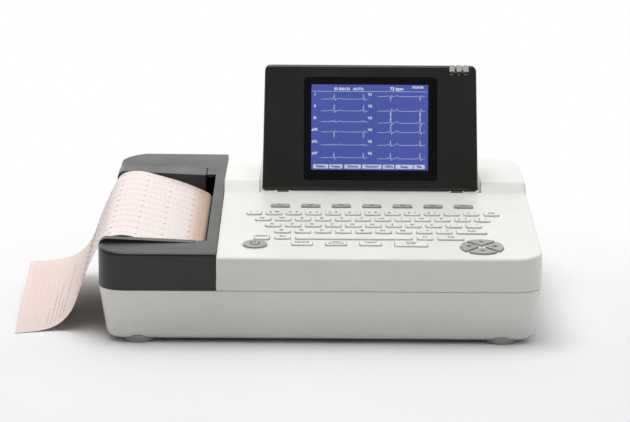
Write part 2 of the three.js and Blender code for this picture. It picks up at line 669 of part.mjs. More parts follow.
function addDisplay() {
  piece(display, "display_bezel", darkPlastic, displayBezel());
  piece(display, "display_back", darkPlastic, displayBack());
  piece(display, "display_window", glossBlack, alongY(windowOutline(0.3), [0.3, 2]));
  piece(display, "lcd_panel", lcdBlue, box([-13, 111.3], [3, 9.5], [19, 113.5]));
  piece(display, "status_light_bar", ledGrey, lightBar());
  HINGE_X.forEach((x, i) => {
    const side = ["left", "right"][i];
    piece(display, `hinge_pin_${side}`, steel, pinRod(x, HINGE_PIN_RADIUS, 11.8));
    piece(casing, `hinge_bracket_${side}`, steel, hingeBracket(x));
  });
}

// ---- keys ----

// A rectangular key centred on x, v, with its hole in the deck and its hidden flange.
function blockKey(x, v, width = KEY_WIDTH, depth = KEY_DEPTH) {
  const outline = (grow) => rounded(
    rectangle([x - width / 2 - grow, x + width / 2 + grow], [v - depth / 2 - grow, v + depth / 2 + grow]),
    [KEY_CORNER + grow / 2], 1,
  );
  return { cap: outline(0), hole: outline(KEY_GAP), flange: outline(0.9) };
}

function roundKey(x, v, radius) {
  const outline = (grow) => circle(x, v, radius + grow, 24);
  return { cap: outline(0), hole: outline(KEY_GAP), flange: outline(1) };
}

const ARROWS = { x: 153.5, v: 33.5, apex: 3, outer: 20.6 };

// A quarter of the round arrow pad, facing the given direction, its point towards the pad's centre.
function arrowKey(facing) {
  const halfAngle = degrees(40.5);
  const steps = 8;
  const outline = (grow) => {
    const at = (radius, turn) =>
      new THREE.Vector2(ARROWS.x + radius * Math.cos(turn), ARROWS.v + radius * Math.sin(turn));
    const outer = ARROWS.outer + grow;
    const reach = halfAngle + grow / outer;
    const angle = (i) => facing + reach * ((2 * i) / steps - 1);
    const arc = Array.from({ length: steps + 1 }, (_, i) => at(outer, angle(i)));
    return [...arc, at(ARROWS.apex - grow * Math.SQRT2, facing)];
  };
  return { cap: outline(0), hole: outline(KEY_GAP), flange: outline(KEY_GAP / 2) };
}

function singleKeys() {
  const keys = {};
  for (let i = 0; i < 7; i += 1) keys[`function_key_${i + 1}`] = blockKey(-39.9 + 30.53 * i, 156, 18.7, 8.4);
  keys.power_key = roundKey(-62.1, 38.2, 11.25);
  keys.mode_key = blockKey(-17.5, 41.6, 20, 12.4);
  keys.rhythm_key = blockKey(15.1, 41.6, 20.2, 12.4);
  keys.copy_key = blockKey(47.9, 41.6, 20.9, 12.4);
  keys.start_stop_key = blockKey(86.7, 41.2, 31.5, 15.6);
  ["right", "up", "left", "down"].forEach((side, i) => {
    keys[`arrow_${side}_key`] = arrowKey((i * Math.PI) / 2);
  });
  return keys;
}

// Rows of small keys, each moulded on one silicone strip under the deck.
function keyRows() {
  const line = (first, count, v) =>
    Array.from({ length: count }, (_, i) => blockKey(first + KEY_PITCH * i, v));
  const rowV = (index) => SPACE_ROW_V + ROW_PITCH * index;
  return {
    space_row_keys: [
      blockKey(-56.1, SPACE_ROW_V, 14.8, 15),
      blockKey(-36.1, SPACE_ROW_V),
      blockKey(32.2, SPACE_ROW_V, 112.2),
      blockKey(100.5, SPACE_ROW_V),
      blockKey(125.4, SPACE_ROW_V, 24.8),
    ],
    lower_letter_keys: [...line(-36.4, 9, rowV(1)), blockKey(146.5, rowV(1), 29.1)],
    home_letter_keys: line(-45.9, 11, rowV(2)),
    upper_letter_keys: line(-55.9, 12, rowV(3)),
    digit_keys: line(-65.5, 13, rowV(4)),
  };
}

const allKeys = () => [...Object.values(singleKeys()), ...Object.values(keyRows()).flat()];

function addKeys() {
  const column = [KEY_WEB_TOP - 0.1, KEY_RISE];
  const web = [KEY_WEB_BOTTOM, KEY_WEB_TOP];
  for (const [name, key] of Object.entries(singleKeys())) {
    const material = /function|arrow|power/.test(name) ? keyGrey : keyWhite;
    piece(deck, name, material, join(alongZ(key.cap, column), alongZ(key.flange, web)));
  }
  for (const [name, keys] of Object.entries(keyRows())) {
    const caps = keys.map((key) => alongZ(key.cap, column));
    const all = keys.flatMap((key) => key.cap);
    const [x0, x1] = [Math.min(...all.map((p) => p.x)), Math.max(...all.map((p) => p.x))];
    const v = (keys[1].cap[0].y + keys[1].cap.at(-1).y) / 2 + KEY_DEPTH / 2 - KEY_CORNER / 2;
    const strip = box([x0 - 1, x1 + 1], [v - KEY_DEPTH / 2 - 1, v + KEY_DEPTH / 2 + 1], web);
    piece(deck, name, keyWhite, join(strip, ...caps));
  }
}

addCasing();
addInsides();
addRearPanel();
addMainsSwitch();
addSidePanel();
addRecorder();
addDisplay();
addKeys();

// The origin is on the table under the middle of the object, paper strip included.
const ORIGIN_IN_CASING = new THREE.Vector3(-46, CASING_DEPTH / 2, 0);
casing.position.copy(ORIGIN_IN_CASING).negate();
const ecgMachine = new THREE.Group();
ecgMachine.add(casing);

export default ecgMachine;
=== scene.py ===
"""Looks of a portable twelve-lead ecg machine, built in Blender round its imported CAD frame.

A low off-white casing has a keyboard on its sloping deck and a display that folds down behind
it. A dark recorder fills the left side, and its printed chart strip hangs over the edge on to
the table. Sizes in the code are millimetres in each sub-assembly's own frame, and the scene is
in metres.
"""

import json
import logging
import math
from dataclasses import dataclass
from enum import Enum
from typing import Any, Callable, Iterable, Sequence

import bmesh
import bpy
from mathutils import Matrix, Vector


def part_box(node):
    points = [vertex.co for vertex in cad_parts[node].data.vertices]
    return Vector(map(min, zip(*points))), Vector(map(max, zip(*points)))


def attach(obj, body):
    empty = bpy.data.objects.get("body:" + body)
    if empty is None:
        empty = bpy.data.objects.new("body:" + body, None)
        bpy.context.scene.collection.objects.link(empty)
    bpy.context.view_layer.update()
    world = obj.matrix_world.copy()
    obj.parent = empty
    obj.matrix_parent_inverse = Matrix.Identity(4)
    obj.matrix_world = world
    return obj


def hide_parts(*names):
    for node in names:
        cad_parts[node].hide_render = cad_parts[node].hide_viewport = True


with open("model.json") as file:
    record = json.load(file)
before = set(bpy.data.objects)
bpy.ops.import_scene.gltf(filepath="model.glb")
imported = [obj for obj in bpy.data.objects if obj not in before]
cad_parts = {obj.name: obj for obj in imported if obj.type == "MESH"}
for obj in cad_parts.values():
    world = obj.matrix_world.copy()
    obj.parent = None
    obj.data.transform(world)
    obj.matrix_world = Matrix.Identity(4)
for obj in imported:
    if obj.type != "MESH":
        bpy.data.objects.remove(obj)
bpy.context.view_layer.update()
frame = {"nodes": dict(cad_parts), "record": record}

log = logging.getLogger("ecg_machine")

MM = 0.001
# The casing's middle in the row frame's x, and half its depth, in mm.
CASING_X = 46
CASING_HALF_DEPTH = 165
BODY_OF = {
    node: body
    for body, members in frame["record"]["behaviour"]["bodies"].items()
    for node in members
}


# ---- frames ----


def tilted(y: float, z: float, slope: float) -> Matrix:
    """Gives a frame on the casing.

    Args:
        y: Its distance behind the casing's front face, in mm.
        z: Its height over the table, in mm.
        slope: Its turn about the X axis, in degrees.

    Returns:
        The matrix from the frame to the row frame, in metres.
    """
    origin = Matrix.Translation(Vector((CASING_X, y - CASING_HALF_DEPTH, z)) * MM)
    return origin @ Matrix.Rotation(math.radians(slope), 4, "X")


CASING = tilted(0, 0, 0)
DECK = tilted(0, 85.2, 5.02)
RECORDER = tilted(0, 89, 4.6)
DISPLAY = tilted(200.4, 102.8, -15.5)
# A plane on the display's front: x to the right, y up the face, z out of it.
SCREEN = DISPLAY @ Matrix.Rotation(math.radians(90), 4, "X")


def local(frame_matrix: Matrix, point: Vector) -> Vector:
    """Returns a row frame point, in metres, as mm in a sub-assembly's frame."""
    return (frame_matrix.inverted() @ point) / MM


# ---- modelling ----


def activate(piece: bpy.types.Object) -> None:
    """Makes a piece the only selected object and the active one."""
    bpy.ops.object.select_all(action="DESELECT")
    piece.select_set(True)
    bpy.context.view_layer.objects.active = piece


def apply_modifier(piece: bpy.types.Object, kind: str, **settings: Any) -> None:
    """Adds a modifier to a piece and applies it.

    Args:
        piece: The piece.
        kind: The modifier's type.
        **settings: Values for the modifier's own properties.
    """
    modifier = piece.modifiers.new(kind.lower(), kind)
    for name, value in settings.items():
        setattr(modifier, name, value)
    activate(piece)
    bpy.ops.object.modifier_apply(modifier=modifier.name)


def pick(
    piece: bpy.types.Object,
    faces: Callable[[bmesh.types.BMFace], bool] | None = None,
    edges: Callable[[bmesh.types.BMEdge], bool] | None = None,
) -> None:
    """Opens a piece in edit mode with only the faces or edges that pass a test selected.

    Args:
        piece: The piece.
        faces: Test for a face.
        edges: Test for an edge between two faces.
    """
    activate(piece)
    bpy.ops.object.mode_set(mode="EDIT")
    bpy.ops.mesh.select_mode(type="FACE" if faces else "EDGE")
    bpy.ops.mesh.select_all(action="DESELECT")
    mesh = bmesh.from_edit_mesh(piece.data)
    for face in mesh.faces if faces else ():
        if faces(face):
            face.select_set(True)
    for edge in mesh.edges if edges else ():
        if len(edge.link_faces) == 2 and edges(edge):
            edge.select_set(True)
    bmesh.update_edit_mesh(piece.data)


def close_edit() -> None:
    """Goes back to object mode."""
    bpy.ops.object.mode_set(mode="OBJECT")


def slice_faces(
    piece: bpy.types.Object,
    placing: Matrix,
    cuts: Iterable[tuple[tuple[float, float, float], tuple[float, float, float]]],
) -> None:
    """Divides a piece's faces along planes.

    Args:
        piece: The piece.
        placing: Frame of the planes.
        cuts: Each plane's point, in mm, and its normal.
    """
    for place, normal in cuts:
        pick(piece, faces=lambda face: True)
        bpy.ops.mesh.bisect(
            plane_co=placing @ (Vector(place) * MM),
            plane_no=placing.to_3x3() @ Vector(normal),
        )
        close_edit()


def round_edges(
    piece: bpy.types.Object,
    radius: float,
    test: Callable[[bmesh.types.BMEdge], bool],
    segments: int = 5,
) -> None:
    """Rounds the edges that pass a test.

    Args:
        piece: The piece.
        radius: Radius of the rounding, in mm.
        test: Test for an edge between two faces.
        segments: Faces across the rounding.
    """
    pick(piece, edges=test)
    bpy.ops.mesh.bevel(
        offset_type="OFFSET",
        offset=radius * MM,
        segments=segments,
        profile=0.5,
        affect="EDGES",
    )
    close_edit()


def even_shading(piece: bpy.types.Object, angle: float = 35) -> None:
    """Shades a piece smooth up to an angle in degrees, with its flat faces kept flat."""
    activate(piece)
    bpy.ops.object.shade_smooth_by_angle(angle=math.radians(angle))
    apply_modifier(piece, "WEIGHTED_NORMAL", keep_sharp=True)


def merged_copy(node: str, name: str) -> bpy.types.Object:
    """Copies a CAD node's mesh into a new piece whose triangles are joined into whole faces.

    Args:
        node: The CAD node.
        name: Name of the piece.

    Returns:
        The new piece.
    """
    activate(frame["nodes"][node])
    bpy.ops.object.duplicate()
    piece = bpy.context.active_object
    piece.name = piece.data.name = name
    piece.data.materials.clear()
    bpy.ops.mesh.customdata_custom_splitnormals_clear()
    bpy.ops.object.mode_set(mode="EDIT")
    bpy.ops.mesh.select_all(action="SELECT")
    bpy.ops.mesh.remove_doubles(threshold=0.001 * MM)
    bpy.ops.mesh.dissolve_limited(angle_limit=math.radians(0.5))
    close_edit()
    return piece


def soften(
    piece: bpy.types.Object, radius: float, angle: float = 30, segments: int = 2
) -> None:
    """Breaks a piece's sharp edges, as a mould or a cutter leaves them.

    Args:
        piece: The piece.
        radius: Width of the broken edge, in mm.
        angle: Least angle of an edge that is broken, in degrees.
        segments: Faces across the edge.
    """
    apply_modifier(
        piece,
        "BEVEL",
        width=radius * MM,
        segments=segments,
        limit_method="ANGLE",
        angle_limit=math.radians(angle),
        use_clamp_overlap=False,
    )
    even_shading(piece)


def joined(parts: Sequence[bpy.types.Object], name: str) -> bpy.types.Object:
    """Joins meshes into one piece.

    Args:
        parts: The meshes.
        name: Name of the piece.

    Returns:
        The joined piece.
    """
    activate(parts[0])
    for part in parts:
        part.select_set(True)
    if len(parts) > 1:
        bpy.ops.object.join()
    piece = bpy.context.active_object
    piece.name = piece.data.name = name
    return piece


def settle(piece: bpy.types.Object, placing: Matrix) -> bpy.types.Object:
    """Puts a piece's place and turn into its mesh, and its object at the origin.

    Args:
        piece: The piece, modelled in mm.
        placing: Matrix from its frame to the row frame.

    Returns:
        The piece.
    """
    piece.data.transform(placing @ Matrix.Scale(MM, 4) @ piece.matrix_basis)
    piece.matrix_basis = Matrix.Identity(4)
    return piece


@dataclass(frozen=True)
class Legend:
    """A word or sign printed on a surface: its text, its centre and its letter height, in mm."""

    text: str
    x: float
    y: float
    height: float


def lettering(
    legends: Iterable[Legend], placing: Matrix, raised: float, name: str
) -> bpy.types.Object:
    """Sets printed words in a plane as one thin piece.

    Args:
        legends: The words.
        placing: The plane's frame, which reads along x and y.
        raised: Height of the print over the plane, in mm.
        name: Name of the piece.

    Returns:
        The piece.
    """
    words = []
    for legend in legends:
        bpy.ops.object.text_add()
        word = bpy.context.active_object
        word.data.body = legend.text
        word.data.size = legend.height * 1.4
        word.data.align_x = "CENTER"
        word.data.align_y = "CENTER"
        word.data.extrude = 0.02
        word.data.offset = 0.055 * legend.height
        word.data.resolution_u = 3
        activate(word)
        bpy.ops.object.convert(target="MESH")
        word = bpy.context.active_object
        words.append(
            settle(
                word,
                placing
                @ Matrix.Translation(Vector((legend.x, legend.y, raised)) * MM),
            )
        )
    return joined(words, name)


def strokes(
    lines: Iterable[Sequence[Vector]], width: float, placing: Matrix, name: str
) -> bpy.types.Object:
    """Draws lines as one thin piece.

    Args:
        lines: Each line's points, in mm.
        width: Width of the lines, in mm.
        placing: Frame of the points.
        name: Name of the piece.

    Returns:
        The piece.
    """
    curve = bpy.data.curves.new(name, "CURVE")
    curve.dimensions = "3D"
    curve.bevel_depth = width / 2
    curve.bevel_resolution = 0
    curve.use_fill_caps = True
    for line in lines:
        spline = curve.splines.new("POLY")
        spline.points.add(len(line) - 1)
        for point, place in zip(spline.points, line):
            point.co = (*place, 1)
    drawn = bpy.data.objects.new(name, curve)
    bpy.context.scene.collection.objects.link(drawn)
    activate(drawn)
    bpy.ops.object.convert(target="MESH")
    return settle(bpy.context.active_object, placing)


def block(
    low: tuple[float, float, float],
    high: tuple[float, float, float],
    name: str,
    placing: Matrix,
    edge: float = 0.3,
) -> bpy.types.Object:
    """Models a block with softened edges.

    Args:
        low: Its lowest corner, in mm.
        high: Its highest corner, in mm.
        name: Name of the piece.
        placing: Frame of the corners.
        edge: Width of its softened edges, in mm.

    Returns:
        The piece.
    """
    centre = [(a + b) / 2 for a, b in zip(low, high)]
    size = [b - a for a, b in zip(low, high)]
    bpy.ops.object.select_all(action="DESELECT")
    bpy.ops.mesh.primitive_cube_add(size=1, location=centre, scale=size)
    piece = bpy.context.active_object
    piece.name = piece.data.name = name
    settle(piece, placing)
    soften(piece, edge)
    return piece


# ---- finishes ----


def linear(code: str) -> tuple[float, float, float, float]:
    """Returns an sRGB hex colour as linear red, green, blue and alpha."""
    parts = [int(code[i : i + 2], 16) / 255 for i in (1, 3, 5)]
    red, green, blue = (
        part / 12.92 if part <= 0.04045 else ((part + 0.055) / 1.055) ** 2.4
        for part in parts
    )
    return red, green, blue, 1.0


def per_mm(size: float) -> float:
    """Returns the texture scale at which one cell of a pattern is size mm across."""
    return 1 / (size * MM)


def add_node(
    tree: bpy.types.NodeTree,
    kind: str,
    inputs: dict[str | int, Any] | None = None,
    **settings: Any,
) -> bpy.types.Node:
    """Adds a node with its settings and links.

    Args:
        tree: The material's nodes.
        kind: The node's type.
        inputs: A value, or a socket to link, for each named or numbered input.
        **settings: Values for the node's own properties.

    Returns:
        The node.
    """
    node = tree.nodes.new(kind)
    for name, value in settings.items():
        setattr(node, name, value)
    for name, value in (inputs or {}).items():
        if isinstance(value, bpy.types.NodeSocket):
            tree.links.new(value, node.inputs[name])
        else:
            node.inputs[name].default_value = value
    return node


def mixed(
    tree: bpy.types.NodeTree, factor: Any, first: Any, second: Any, mode: str = "MIX"
) -> bpy.types.NodeSocket:
    """Mixes two colours.

    Args:
        tree: The material's nodes.
        factor: How much of the second colour, a number or a socket.
        first: The first colour or its socket.
        second: The second colour or its socket.
        mode: The mix node's blend type.

    Returns:
        The mixed colour's socket.
    """
    inputs = {0: factor, 6: first, 7: second}
    node = add_node(tree, "ShaderNodeMix", inputs, data_type="RGBA", blend_type=mode)
    return node.outputs[2]


def spread(
    tree: bpy.types.NodeTree, value: bpy.types.NodeSocket, low: float, high: float
) -> bpy.types.NodeSocket:
    """Maps a noise value's middle range on to a range.

    Args:
        tree: The material's nodes.
        value: The noise value's socket.
        low: Result for the darkest noise.
        high: Result for the brightest noise.

    Returns:
        The mapped value's socket.
    """
    inputs = {0: value, 1: 0.3, 2: 0.7, 3: low, 4: high}
    return add_node(tree, "ShaderNodeMapRange", inputs).outputs[0]


def noise(
    tree: bpy.types.NodeTree,
    where: bpy.types.NodeSocket,
    size: float,
    detail: float = 3,
) -> bpy.types.NodeSocket:
    """Gives a noise whose lumps are size mm across.

    Args:
        tree: The material's nodes.
        where: Coordinates in metres.
        size: Size of a lump, in mm.
        detail: Octaves of finer noise.

    Returns:
        The noise value's socket.
    """
    inputs = {"Vector": where, "Scale": per_mm(size), "Detail": detail}
    return add_node(tree, "ShaderNodeTexNoise", inputs).outputs[0]


def object_space(tree: bpy.types.NodeTree) -> bpy.types.NodeSocket:
    """Gives the surface's own coordinates, in metres."""
    return add_node(tree, "ShaderNodeTexCoord").outputs["Object"]


def bump(
    tree: bpy.types.NodeTree, height: bpy.types.NodeSocket, depth: float, strength: float
) -> bpy.types.NodeSocket:
    """Raises a surface's normal by a height.

    Args:
        tree: The material's nodes.
        height: The height's socket.
        depth: Greatest height, in mm.
        strength: Share of the height that shows.

    Returns:
        The normal's socket.
    """
    inputs = {"Height": height, "Distance": depth * MM, "Strength": strength}
    return add_node(tree, "ShaderNodeBump", inputs).outputs[0]


@dataclass(frozen=True)
class Finish:
    """A surface finish, made as a material the first time it is asked for."""

    name: str

    def material(self) -> bpy.types.Material:
        """Returns the finish's material."""
        found = bpy.data.materials.get(self.name)
        if found is None:
            found = bpy.data.materials.new(self.name)
            found.use_nodes = True
            found.node_tree.nodes.clear()
            self.build(found.node_tree)
        return found

    def build(self, tree: bpy.types.NodeTree) -> None:
        """Builds the material's nodes in an empty tree."""
        raise NotImplementedError

    def close(self, tree: bpy.types.NodeTree, inputs: dict[str, Any]) -> None:
        """Adds the surface shader and the output.

        Args:
            tree: The material's nodes.
            inputs: Values and sockets for the shader's inputs.
        """
        shader = add_node(tree, "ShaderNodeBsdfPrincipled", inputs)
        add_node(tree, "ShaderNodeOutputMaterial", {"Surface": shader.outputs[0]})


@dataclass(frozen=True)
class MouldedPlastic(Finish):
    """An injection moulded plastic with a spark-eroded grain.

    Attributes:
        colour: Its colour.
        roughness: Its middle roughness.
        tone: How much its colour drifts over a hand's width, as a share.
        grain: Size of the grain, in mm.
        depth: Height of the grain, in mm.
        coat: Share of a clear gloss over it.
        soft: Share of light that goes in under its surface.
        ior: Its index of refraction.
    """

    colour: str
    roughness: float = 0.45
    tone: float = 0.03
    grain: float = 0.9
    depth: float = 0.012
    coat: float = 0.0
    soft: float = 0.0
    ior: float = 1.53

    def build(self, tree: bpy.types.NodeTree) -> None:
        """Builds the plastic's drift of colour, handling marks and fine grain."""
        where = object_space(tree)
        drift = spread(tree, noise(tree, where, 90), 1 - self.tone, 1 + self.tone)
        fleck = spread(tree, noise(tree, where, 1.4, 2), 0.975, 1.025)
        both = add_node(
            tree, "ShaderNodeMath", {0: drift, 1: fleck}, operation="MULTIPLY"
        )
        shade = mixed(tree, 1.0, linear(self.colour), both.outputs[0], "MULTIPLY")
        handling_and_end_shade = spread(
            tree, noise(tree, where, 35, 5), self.roughness - 0.05, self.roughness + 0.06
        )
        grain = bump(tree, noise(tree, where, self.grain, 2), self.depth, 0.8)
        self.close(
            tree,
            {
                "Base Color": shade,
                "Roughness": handling_and_end_shade,
                "Normal": grain,
                "IOR": self.ior,
                "Coat Weight": self.coat,
                "Coat Roughness": 0.2,
                "Subsurface Weight": self.soft,
                "Subsurface Radius": (0.0012, 0.0011, 0.0010),
                "Subsurface Scale": 1.0,
            },
        )


@dataclass(frozen=True)
class Rubber(Finish):
    """A matt rubber with a bloom of fine dust."""

    colour: str
    roughness: float = 0.85

    def build(self, tree: bpy.types.NodeTree) -> None:
        """Builds the rubber's dusty mottling and its soft grain."""
        where = object_space(tree)
        dust = spread(tree, noise(tree, where, 6, 5), 0.0, 0.16)
        shade = mixed(tree, dust, linear(self.colour), linear("#8c8a84"))
        grain = bump(tree, noise(tree, where, 0.8), 0.03, 0.9)
        rough = spread(
            tree, noise(tree, where, 12), self.roughness - 0.08, self.roughness + 0.08
        )
        self.close(
            tree,
            {
                "Base Color": shade,
                "Roughness": rough,
                "Normal": grain,
                "IOR": 1.5,
                "Sheen Weight": 0.15,
                "Sheen Roughness": 0.5,
            },
        )


@dataclass(frozen=True)
class Metal(Finish):
    """A worked metal with fine marks along one axis.

    Attributes:
        colour: Its reflectance as a colour.
        roughness: Its middle roughness.
        marks: Length of the marks along x, y and z, in mm.
    """

    colour: str
    roughness: float = 0.35
    marks: tuple[float, float, float] = (12, 0.5, 0.5)

    def build(self, tree: bpy.types.NodeTree) -> None:
        """Builds the metal's drawn marks and slight tarnish."""
        where = object_space(tree)
        scale = [per_mm(size) for size in self.marks]
        along = add_node(tree, "ShaderNodeMapping", {"Vector": where, "Scale": scale})
        drawn = add_node(
            tree,
            "ShaderNodeTexNoise",
            {"Vector": along.outputs[0], "Scale": 1.0, "Detail": 4.0},
        ).outputs[0]
        tarnish = spread(tree, noise(tree, where, 9, 4), 0.0, 0.22)
        shade = mixed(tree, tarnish, linear(self.colour), linear("#6f6b64"))
        rough = spread(tree, drawn, self.roughness - 0.1, self.roughness + 0.12)
        marks = bump(tree, drawn, 0.01, 0.6)
        self.close(
            tree,
            {
                "Base Color": shade,
                "Metallic": 1.0,
                "Roughness": rough,
                "Normal": marks,
            },
        )


@dataclass(frozen=True)
class CircuitBoard(Finish):
    """A fibreglass board under green solder mask, with copper tracks and tinned pads."""

    track: float = 2.4

    def build(self, tree: bpy.types.NodeTree) -> None:
        """Builds the tracks under the mask and the bare pads."""
        where = object_space(tree)
        size = self.track * MM
        tracks = add_node(
            tree,
            "ShaderNodeTexBrick",
            {
                "Vector": where,
                "Color1": linear("#17603a"),
                "Color2": linear("#1b6b40"),
                "Mortar": linear("#2c8a55"),
                "Scale": 1.0,
                "Mortar Size": size * 0.14,
                "Brick Width": size * 4,
                "Row Height": size,
            },
        )
        pads = add_node(
            tree,
            "ShaderNodeTexVoronoi",
            {"Vector": where, "Scale": per_mm(5)},
        ).outputs[0]
        bare = add_node(
            tree, "ShaderNodeMath", {0: pads, 1: 0.16}, operation="LESS_THAN"
        ).outputs[0]
        shade = mixed(tree, bare, tracks.outputs[0], linear("#c9c6b8"))
        rough = spread(tree, noise(tree, where, 4), 0.25, 0.4)
        height = bump(tree, tracks.outputs[1], 0.05, 0.7)
        self.close(
            tree,
            {
                "Base Color": shade,
                "Metallic": bare,
                "Roughness": rough,
                "Normal": height,
            },
        )


@dataclass(frozen=True)
class ChartPaper(Finish):
    """Coated thermal chart paper with a printed grid, read from the strip's own map in mm.

    Attributes:
        ground: Colour of the paper.
        fine: Colour of the 1 mm lines.
        bold: Colour of the 5 mm lines.
        slot_shade: Tan tint of painted shade near the slot, where the strip bends down into it.
        handling_and_end_shade: Tint of painted shade that darkens the strip's hanging end.
    """

    ground: str = "#fdf2ee"
    fine: str = "#f9e4de"
    bold: str = "#f5d8d0"
    slot_shade: str = "#e9cfb9"
    handling_and_end_shade: str = "#e9dfda"

    def grid(
        self, tree: bpy.types.NodeTree, where: bpy.types.NodeSocket, pitch: float, line: float
    ) -> bpy.types.NodeSocket:
        """Gives a square grid.

        Args:
            tree: The material's nodes.
            where: Coordinates in mm.
            pitch: Distance between lines, in mm.
            line: Width of a line, in mm.

        Returns:
            A socket that is 1 on the lines and 0 between them.
        """
        inputs = {
            "Vector": where,
            "Scale": 1.0,
            "Mortar Size": line / 2,
            "Mortar Smooth": 0.1,
            "Brick Width": pitch,
            "Row Height": pitch,
        }
        squares = add_node(tree, "ShaderNodeTexBrick", inputs, offset=0.0)
        return squares.outputs[1]

    def build(self, tree: bpy.types.NodeTree) -> None:
        """Builds the coated ground, its grid, painted shade near the slot and on the hanging end,
        and the paper's faint cockle.
        """
        where = add_node(tree, "ShaderNodeUVMap", uv_map="UVMap").outputs[0]
        fine = mixed(
            tree, self.grid(tree, where, 1, 0.22), linear(self.ground), linear(self.fine)
        )
        ruled = mixed(tree, self.grid(tree, where, 5, 0.42), fine, linear(self.bold))
        out = add_node(tree, "ShaderNodeSeparateXYZ", {0: where}).outputs["Y"]
        # Painted shade: a tan tint within about 24 mm of the slot stands in for the shade where
        # the strip bends down into it.
        slot_shade_mask = add_node(tree, "ShaderNodeMapRange", {0: out, 1: 13, 2: 24, 3: 0.9, 4: 0.0})
        slot_shaded = mixed(tree, slot_shade_mask.outputs[0], ruled, linear(self.slot_shade), "MULTIPLY")
        # Painted shade: the tint deepens from 95 mm to 165 mm along the strip, darkening the
        # hanging end where shade falls.
        end_shade_mask = add_node(tree, "ShaderNodeMapRange", {0: out, 1: 95, 2: 165, 3: 0.0, 4: 0.8})
        end_shaded = mixed(tree, end_shade_mask.outputs[0], slot_shaded, linear(self.handling_and_end_shade), "MULTIPLY")
        place = object_space(tree)
        fibres = spread(tree, noise(tree, place, 1.1, 5), 0.975, 1.015)
        shade = mixed(tree, 1.0, end_shaded, fibres, "MULTIPLY")
        cockle = bump(tree, noise(tree, place, 14, 2), 0.15, 0.5)
        self.close(
            tree,
            {
                "Base Color": shade,
                "Roughness": spread(tree, fibres, 0.42, 0.55),
                "Normal": cockle,
                "IOR": 1.45,
                "Sheen Weight": 0.05,
                "Subsurface Weight": 0.3,
                "Subsurface Radius": (0.0014, 0.0013, 0.0012),
                "Subsurface Scale": 1.0,
            },
        )


@dataclass(frozen=True)
class WoundPaper(Finish):
    """The wound roll: white paper whose ends show the edges of its layers."""

    centre: tuple[float, float] = (0, 0)

    def build(self, tree: bpy.types.NodeTree) -> None:
        """Builds rings round the roll's axis with the paper's fibres between them."""
        where = object_space(tree)
        middle = (-self.centre[0], 0, -self.centre[1])
        centred = add_node(
            tree, "ShaderNodeMapping", {"Vector": where, "Location": middle}
        )
        rings = add_node(
            tree,
            "ShaderNodeTexWave",
            {"Vector": centred.outputs[0], "Scale": per_mm(9), "Distortion": 0.6},
            wave_type="RINGS",
            rings_direction="Y",
        ).outputs[0]
        shade = mixed(tree, rings, linear("#e2d7d0"), linear("#f7f1ec"))
        edges = bump(tree, rings, 0.05, 0.6)
        self.close(
            tree,
            {
                "Base Color": shade,
                "Roughness": spread(tree, noise(tree, where, 3), 0.55, 0.75),
                "Normal": edges,
            },
        )


@dataclass(frozen=True)
class ClearAcrylic(Finish):
    """Cast acrylic sheet: clear, with a hard gloss and the faintest wipe marks."""

    def build(self, tree: bpy.types.NodeTree) -> None:
        """Builds the clear sheet with wipe marks in its gloss."""
        where = object_space(tree)
        self.close(
            tree,
            {
                "Base Color": linear("#f4f6fa"),
                "Roughness": spread(tree, noise(tree, where, 22, 4), 0.02, 0.07),
                "IOR": 1.49,
                "Transmission Weight": 1.0,
            },
        )


@dataclass(frozen=True)
class Glow(Finish):
    """A lit surface, such as a screen's backlight or the dots of its picture.

    Attributes:
        colour: Colour of its light.
        strength: Strength of its light.
        drift: How much the light falls off over the surface, as a share.
    """

    colour: str
    strength: float = 1.0
    drift: float = 0.05

    def build(self, tree: bpy.types.NodeTree) -> None:
        """Builds the light with the uneven spread of a backlight."""
        where = object_space(tree)
        patch = spread(tree, noise(tree, where, 60, 1), 1 - self.drift, 1 + self.drift)
        light = mixed(tree, 1.0, linear(self.colour), patch, "MULTIPLY")
        self.close(
            tree,
            {
                "Base Color": linear("#101014"),
                "Emission Color": light,
                "Emission Strength": self.strength,
                "Roughness": 0.4,
            },
        )


@dataclass(frozen=True)
class Ink(Finish):
    """Printed ink with a slightly uneven edge-to-edge density."""

    colour: str
    roughness: float = 0.5

    def build(self, tree: bpy.types.NodeTree) -> None:
        """Builds the ink with small breaks in its density."""
        where = object_space(tree)
        density = spread(tree, noise(tree, where, 0.8, 4), 0.0, 0.18)
        shade = mixed(tree, density, linear(self.colour), linear("#8a8a88"))
        self.close(
            tree,
            {
                "Base Color": shade,
                "Roughness": spread(
                    tree, noise(tree, where, 2), self.roughness - 0.1, self.roughness + 0.1
                ),
            },
        )


